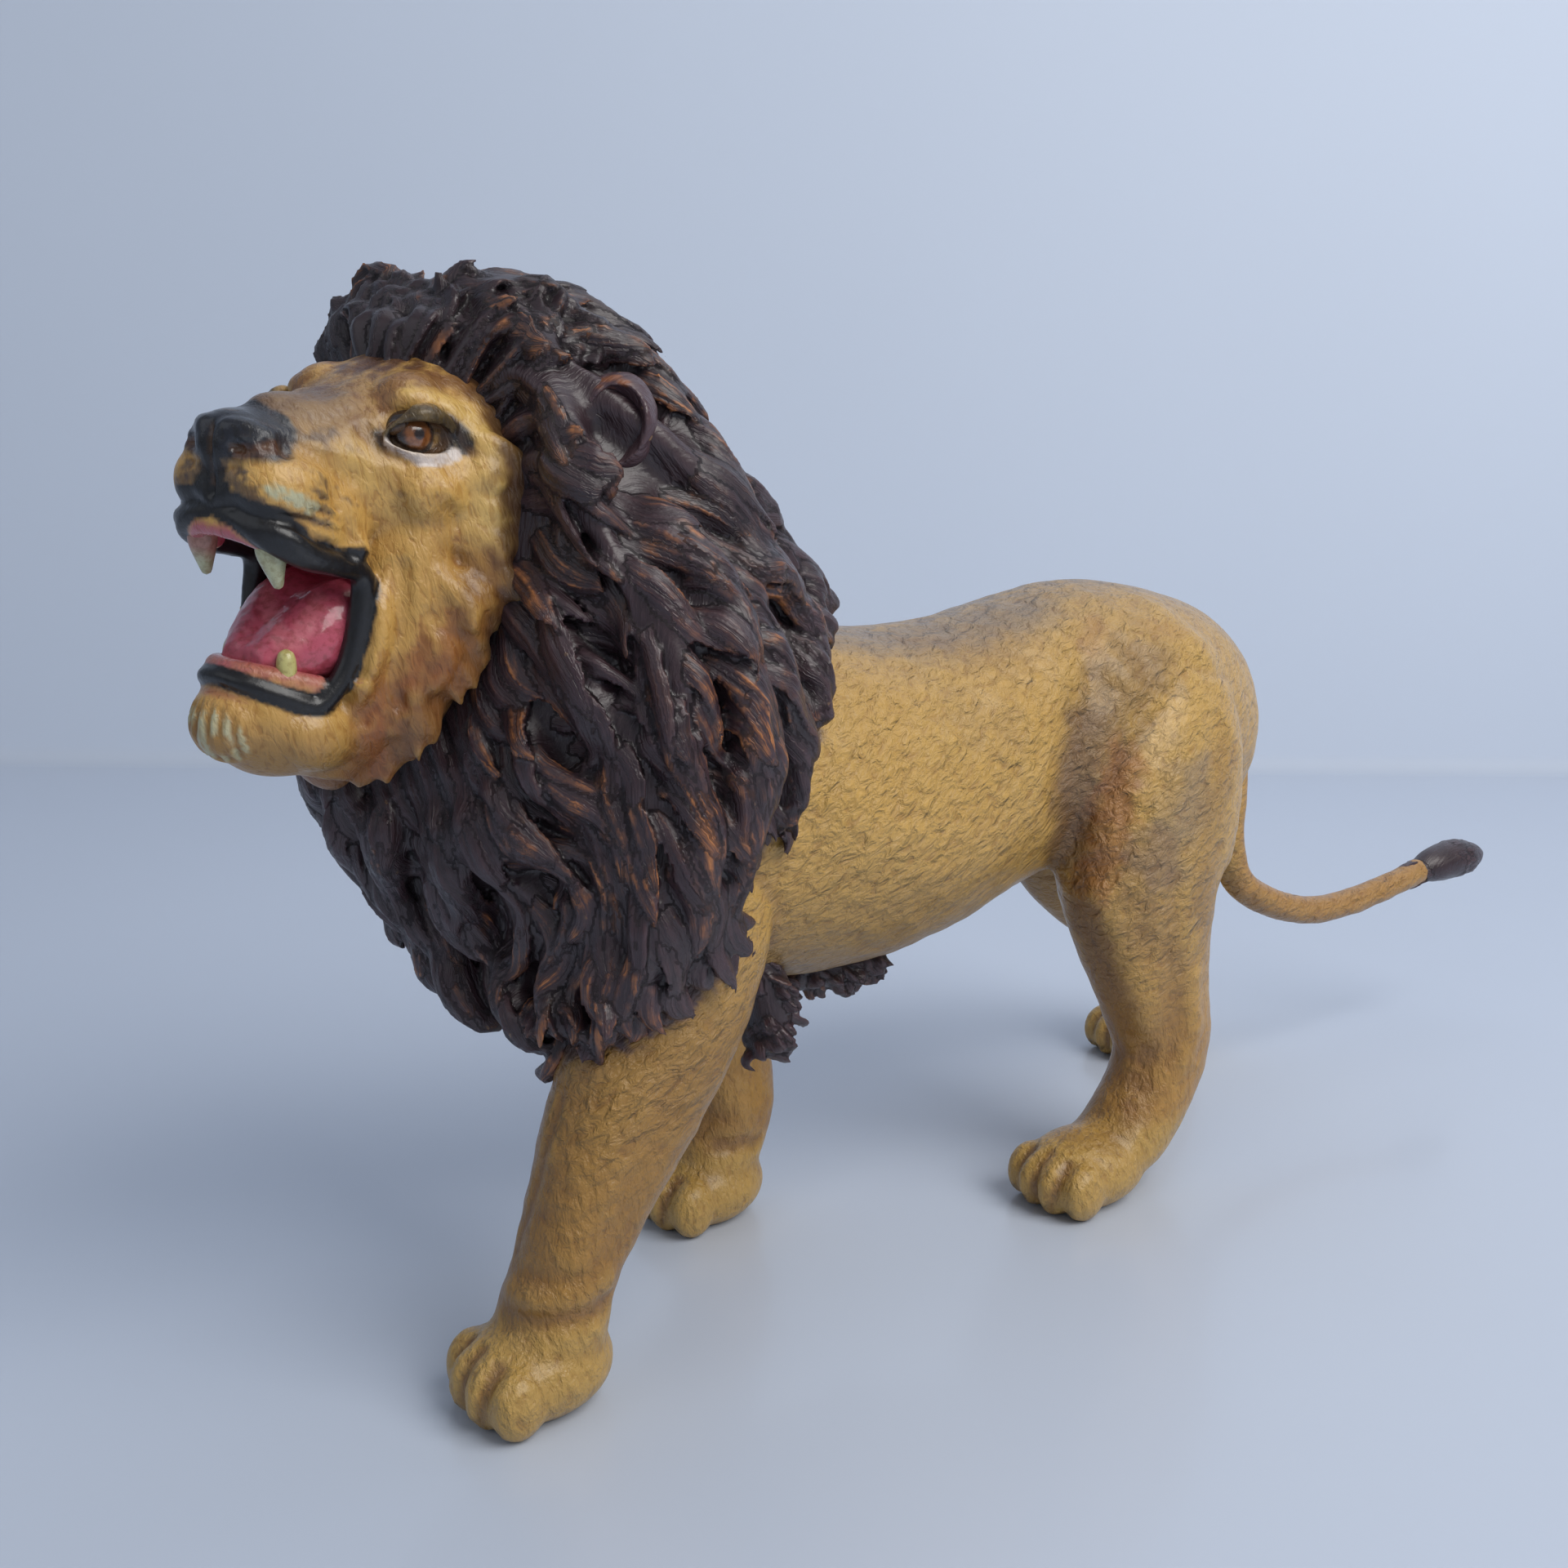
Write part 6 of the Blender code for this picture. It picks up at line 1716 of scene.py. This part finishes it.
def face_paint():
    paint = Paint("face_paint", 0.25, 0.24)
    wet = paint.attribute("wet")
    gloss = paint.attribute("gloss")
    combed = paint.place((math.radians(-14), 0, math.radians(24)), (1.2, 1.2, 0.45))
    fur = paint.noise(combed, 1500, 2.5, 0.5, 0.7)
    strokes = paint.noise(combed, 700, 3.0, 0.6, 0.4)
    colour = paint.attribute("paint", "Color")
    colour = paint.shaded(colour, (0.72, 0.62, 0.50), paint.ranged(fur, 0.48, 0.34, 0.0, 0.8))
    colour = paint.shaded(colour, (1.15, 1.13, 1.1), paint.ranged(strokes, 0.58, 0.72, 0.0, 0.35))
    roughness = paint.less(paint.ranged(strokes, 0.3, 0.7, 0.36, 0.48), gloss, 0.20)
    dry = paint.math("SUBTRACT", 1.0, paint.math("MAXIMUM", wet, gloss), True)
    normal = paint.bump(paint.noise(paint.place(), 2600, 2.0, 0.6), 0.00006, 0.6)
    normal = paint.bump(fur, paint.math("MULTIPLY", dry, 0.0003), 0.7, normal)
    return paint.finish(colour, roughness, normal)


def hair_paint(name):
    paint = Paint(name, 0.22, 0.26)
    strand = paint.attribute("strand", "Vector")
    lined = paint.node("Mapping", {"Vector": strand, "Scale": (1.0, 0.55, 1.0)}).outputs[0]
    lines = paint.noise(lined, 3.2, 2.5, 0.55, 0.15)
    patches = paint.noise(paint.place(), 420, 3.0, 0.6)
    colour = paint.attribute("paint", "Color")
    colour = paint.mixed(paint.ranged(lines, 0.54, 0.70, 0.0, 0.40), colour, STRAND_PALE)
    brush = paint.math("MULTIPLY", paint.attribute("rust"), paint.ranged(lines, 0.40, 0.60))
    brush = paint.math("MULTIPLY", brush, paint.ranged(patches, 0.38, 0.58), True)
    colour = paint.mixed(brush, colour, STRAND_RUST)
    chips = paint.math("MULTIPLY", paint.ranged(paint.noise(paint.place(), 900, 1.0), 0.74, 0.77),
                       paint.attribute("crest"), True)
    colour = paint.mixed(chips, colour, STRAND_CHIP)
    roughness = paint.ranged(patches, 0.3, 0.7, 0.32, 0.48)
    normal = paint.bump(lines, 0.0003, 0.9)
    normal = paint.bump(paint.noise(paint.place(), 3000, 2.0), 0.00005, 0.6, normal)
    return paint.finish(colour, roughness, normal)


def smooth_paint(name, size, coat, rough):
    """A glossy paint with a faint brushed mottle, for the small parts of the face."""
    paint = Paint(name, coat, 0.10)
    mottle = paint.noise(paint.place(), size, 3.0, 0.6)
    colour = paint.shaded(paint.attribute("paint", "Color"), (0.74, 0.68, 0.62),
                          paint.ranged(mottle, 0.55, 0.38))
    roughness = paint.ranged(mottle, 0.3, 0.7, rough, rough + 0.12)
    return paint.finish(colour, roughness, paint.bump(mottle, 0.00006, 0.6))


# floor, lamps and camera (metres)
ROOM_WIDTH, TABLE_FRONT, WALL_HEIGHT = 2.6, 0.9, 2.2
# the table's edge at the wall, and the radius of the bend between them
EDGE, BEND = -0.27, 0.006
TABLE_COLOURS = ((0.53, 0.59, 0.70, 1), (0.57, 0.63, 0.74, 1))
WALL_COLOURS = ((0.67, 0.74, 0.86, 1), (0.70, 0.77, 0.89, 1))
SKY, SKY_STRENGTH = (0.80, 0.88, 1.0, 1), 0.26
LAMP_TARGET = (0, 0, 0.05)
# place, width and height, power and colour
LAMPS = {
    "key": ((0.46, 0.12, 0.52), (0.50, 0.50), 3.6, (1.0, 0.98, 0.95)),
    "fill": ((0.05, -0.62, 0.45), (0.60, 0.50), 0.4, (0.88, 0.93, 1.0)),
    "top": ((-0.10, 0.25, 0.75), (0.70, 0.70), 1.1, (0.93, 0.96, 1.0)),
}


def room_mesh():
    """A table with a wall close behind it, square to the camera."""
    rows = [(TABLE_FRONT, 0.0), (EDGE, 0.0)]
    rows += [(EDGE - BEND * math.sin(turn), BEND * (1 - math.cos(turn)))
             for turn in np.linspace(0, math.pi / 2, 9)[1:]]
    rows.append((EDGE - BEND, WALL_HEIGHT))
    away = np.array((math.cos(CAMERA_YAW), math.sin(CAMERA_YAW)))
    aside = np.array((away[1], -away[0]))
    points, faces = [], []
    for forward, height in rows:
        for across in (-ROOM_WIDTH, ROOM_WIDTH):
            points.append((*(away * -forward + aside * across), height))
    for row in range(len(rows) - 1):
        faces.append((2 * row, 2 * row + 1, 2 * row + 3, 2 * row + 2))
    mesh = bpy.data.meshes.new("table")
    mesh.from_pydata(points, [], faces)
    mesh.shade_smooth()
    return mesh


def room():
    mesh = room_mesh()
    table = bpy.data.objects.new("table", mesh)
    bpy.context.scene.collection.objects.link(table)
    paint = Paint("table_paint", 0.22, 0.10)
    shade = paint.noise(paint.place(), 6, 2.0)
    height = paint.node("SeparateXYZ", {0: paint.place()}).outputs[2]
    colour = paint.mixed(paint.ranged(height, 0.001, 0.006), paint.mixed(shade, *TABLE_COLOURS),
                         paint.mixed(shade, *WALL_COLOURS))
    rough = paint.ranged(height, 0.0001, 0.001, 0.30, 0.7)
    paint.feed(paint.shader.inputs["Coat Weight"], paint.ranged(height, 0.0001, 0.001, 0.22, 0.0))
    normal = paint.bump(paint.noise(paint.place(), 1600, 2.0), 0.00002, 0.3)
    mesh.materials.append(paint.finish(colour, rough, normal))


def lamp(name, place, size, power, colour):
    light = bpy.data.lights.new(name, "AREA")
    light.shape = "RECTANGLE"
    light.size, light.size_y = size
    light.energy, light.color = power, colour
    made = bpy.data.objects.new(name, light)
    bpy.context.scene.collection.objects.link(made)
    made.location = place
    made.rotation_euler = (Vector(LAMP_TARGET) - Vector(place)).to_track_quat("-Z", "Y").to_euler()


def lights():
    world = bpy.data.worlds.new("studio")
    bpy.context.scene.world = world
    world.use_nodes = True
    background = world.node_tree.nodes["Background"]
    background.inputs["Color"].default_value = SKY
    background.inputs["Strength"].default_value = SKY_STRENGTH
    for name, settings in LAMPS.items():
        lamp(name, *settings)


def camera():
    lens = bpy.data.cameras.new("camera")
    lens.sensor_width = SENSOR_WIDTH
    lens.lens = SENSOR_WIDTH * FOCAL_PIXELS / PHOTO_PIXELS
    lens.clip_start, lens.clip_end = 0.01, 20.0
    made = bpy.data.objects.new("camera", lens)
    place = (CAMERA_AT + SHIFT) * MM
    columns = np.array((RIGHT, -DOWN, -AHEAD)).T
    made.matrix_world = Matrix([[*columns[row], place[row]] for row in range(3)] + [[0, 0, 0, 1]])
    bpy.context.scene.collection.objects.link(made)
    bpy.context.scene.camera = made


# the figure
def placed(made, material, slot, *nodes):
    made.data.materials.clear()
    made.data.materials.append(material)
    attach(made, "root")
    if nodes:
        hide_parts(*nodes)


def figure():
    coat = make_coat()
    sculpt_coat(coat)
    face = make_face()
    sculpt_face(face)
    manes, hood_tree = make_mane(face)
    coat_facts = paint_coat(coat, hood_tree)
    face_facts = paint_face(face, hood_tree)
    placed(coat.finish(coat_facts), coat_paint(), "coat", "torso", "front_left_leg", "front_right_leg",
           "hind_left_leg", "hind_right_leg", "tail")
    placed(face.finish(face_facts), face_paint(), "face_coat", "head", "lower_jaw")
    hair = hair_paint("mane_paint")
    placed(manes[0], hair, "mane_hair", "mane")
    for made in (*manes[1:], make_ears()):
        placed(made, hair, "mane_hair")
    placed(make_tufts(), hair_paint("tuft_paint"), "tail_coat")
    placed(make_tongue(), smooth_paint("tongue_paint", 1500, 0.5, 0.28), "tongue_skin", "tongue")
    placed(make_teeth(), smooth_paint("tooth_paint", 1800, 0.5, 0.30), "face_coat")
    placed(make_eyes(), smooth_paint("eye_paint", 2500, 1.0, 0.12), "face_coat")


figure()
room()
lights()
camera()
bpy.context.scene.view_settings.view_transform = "Standard"
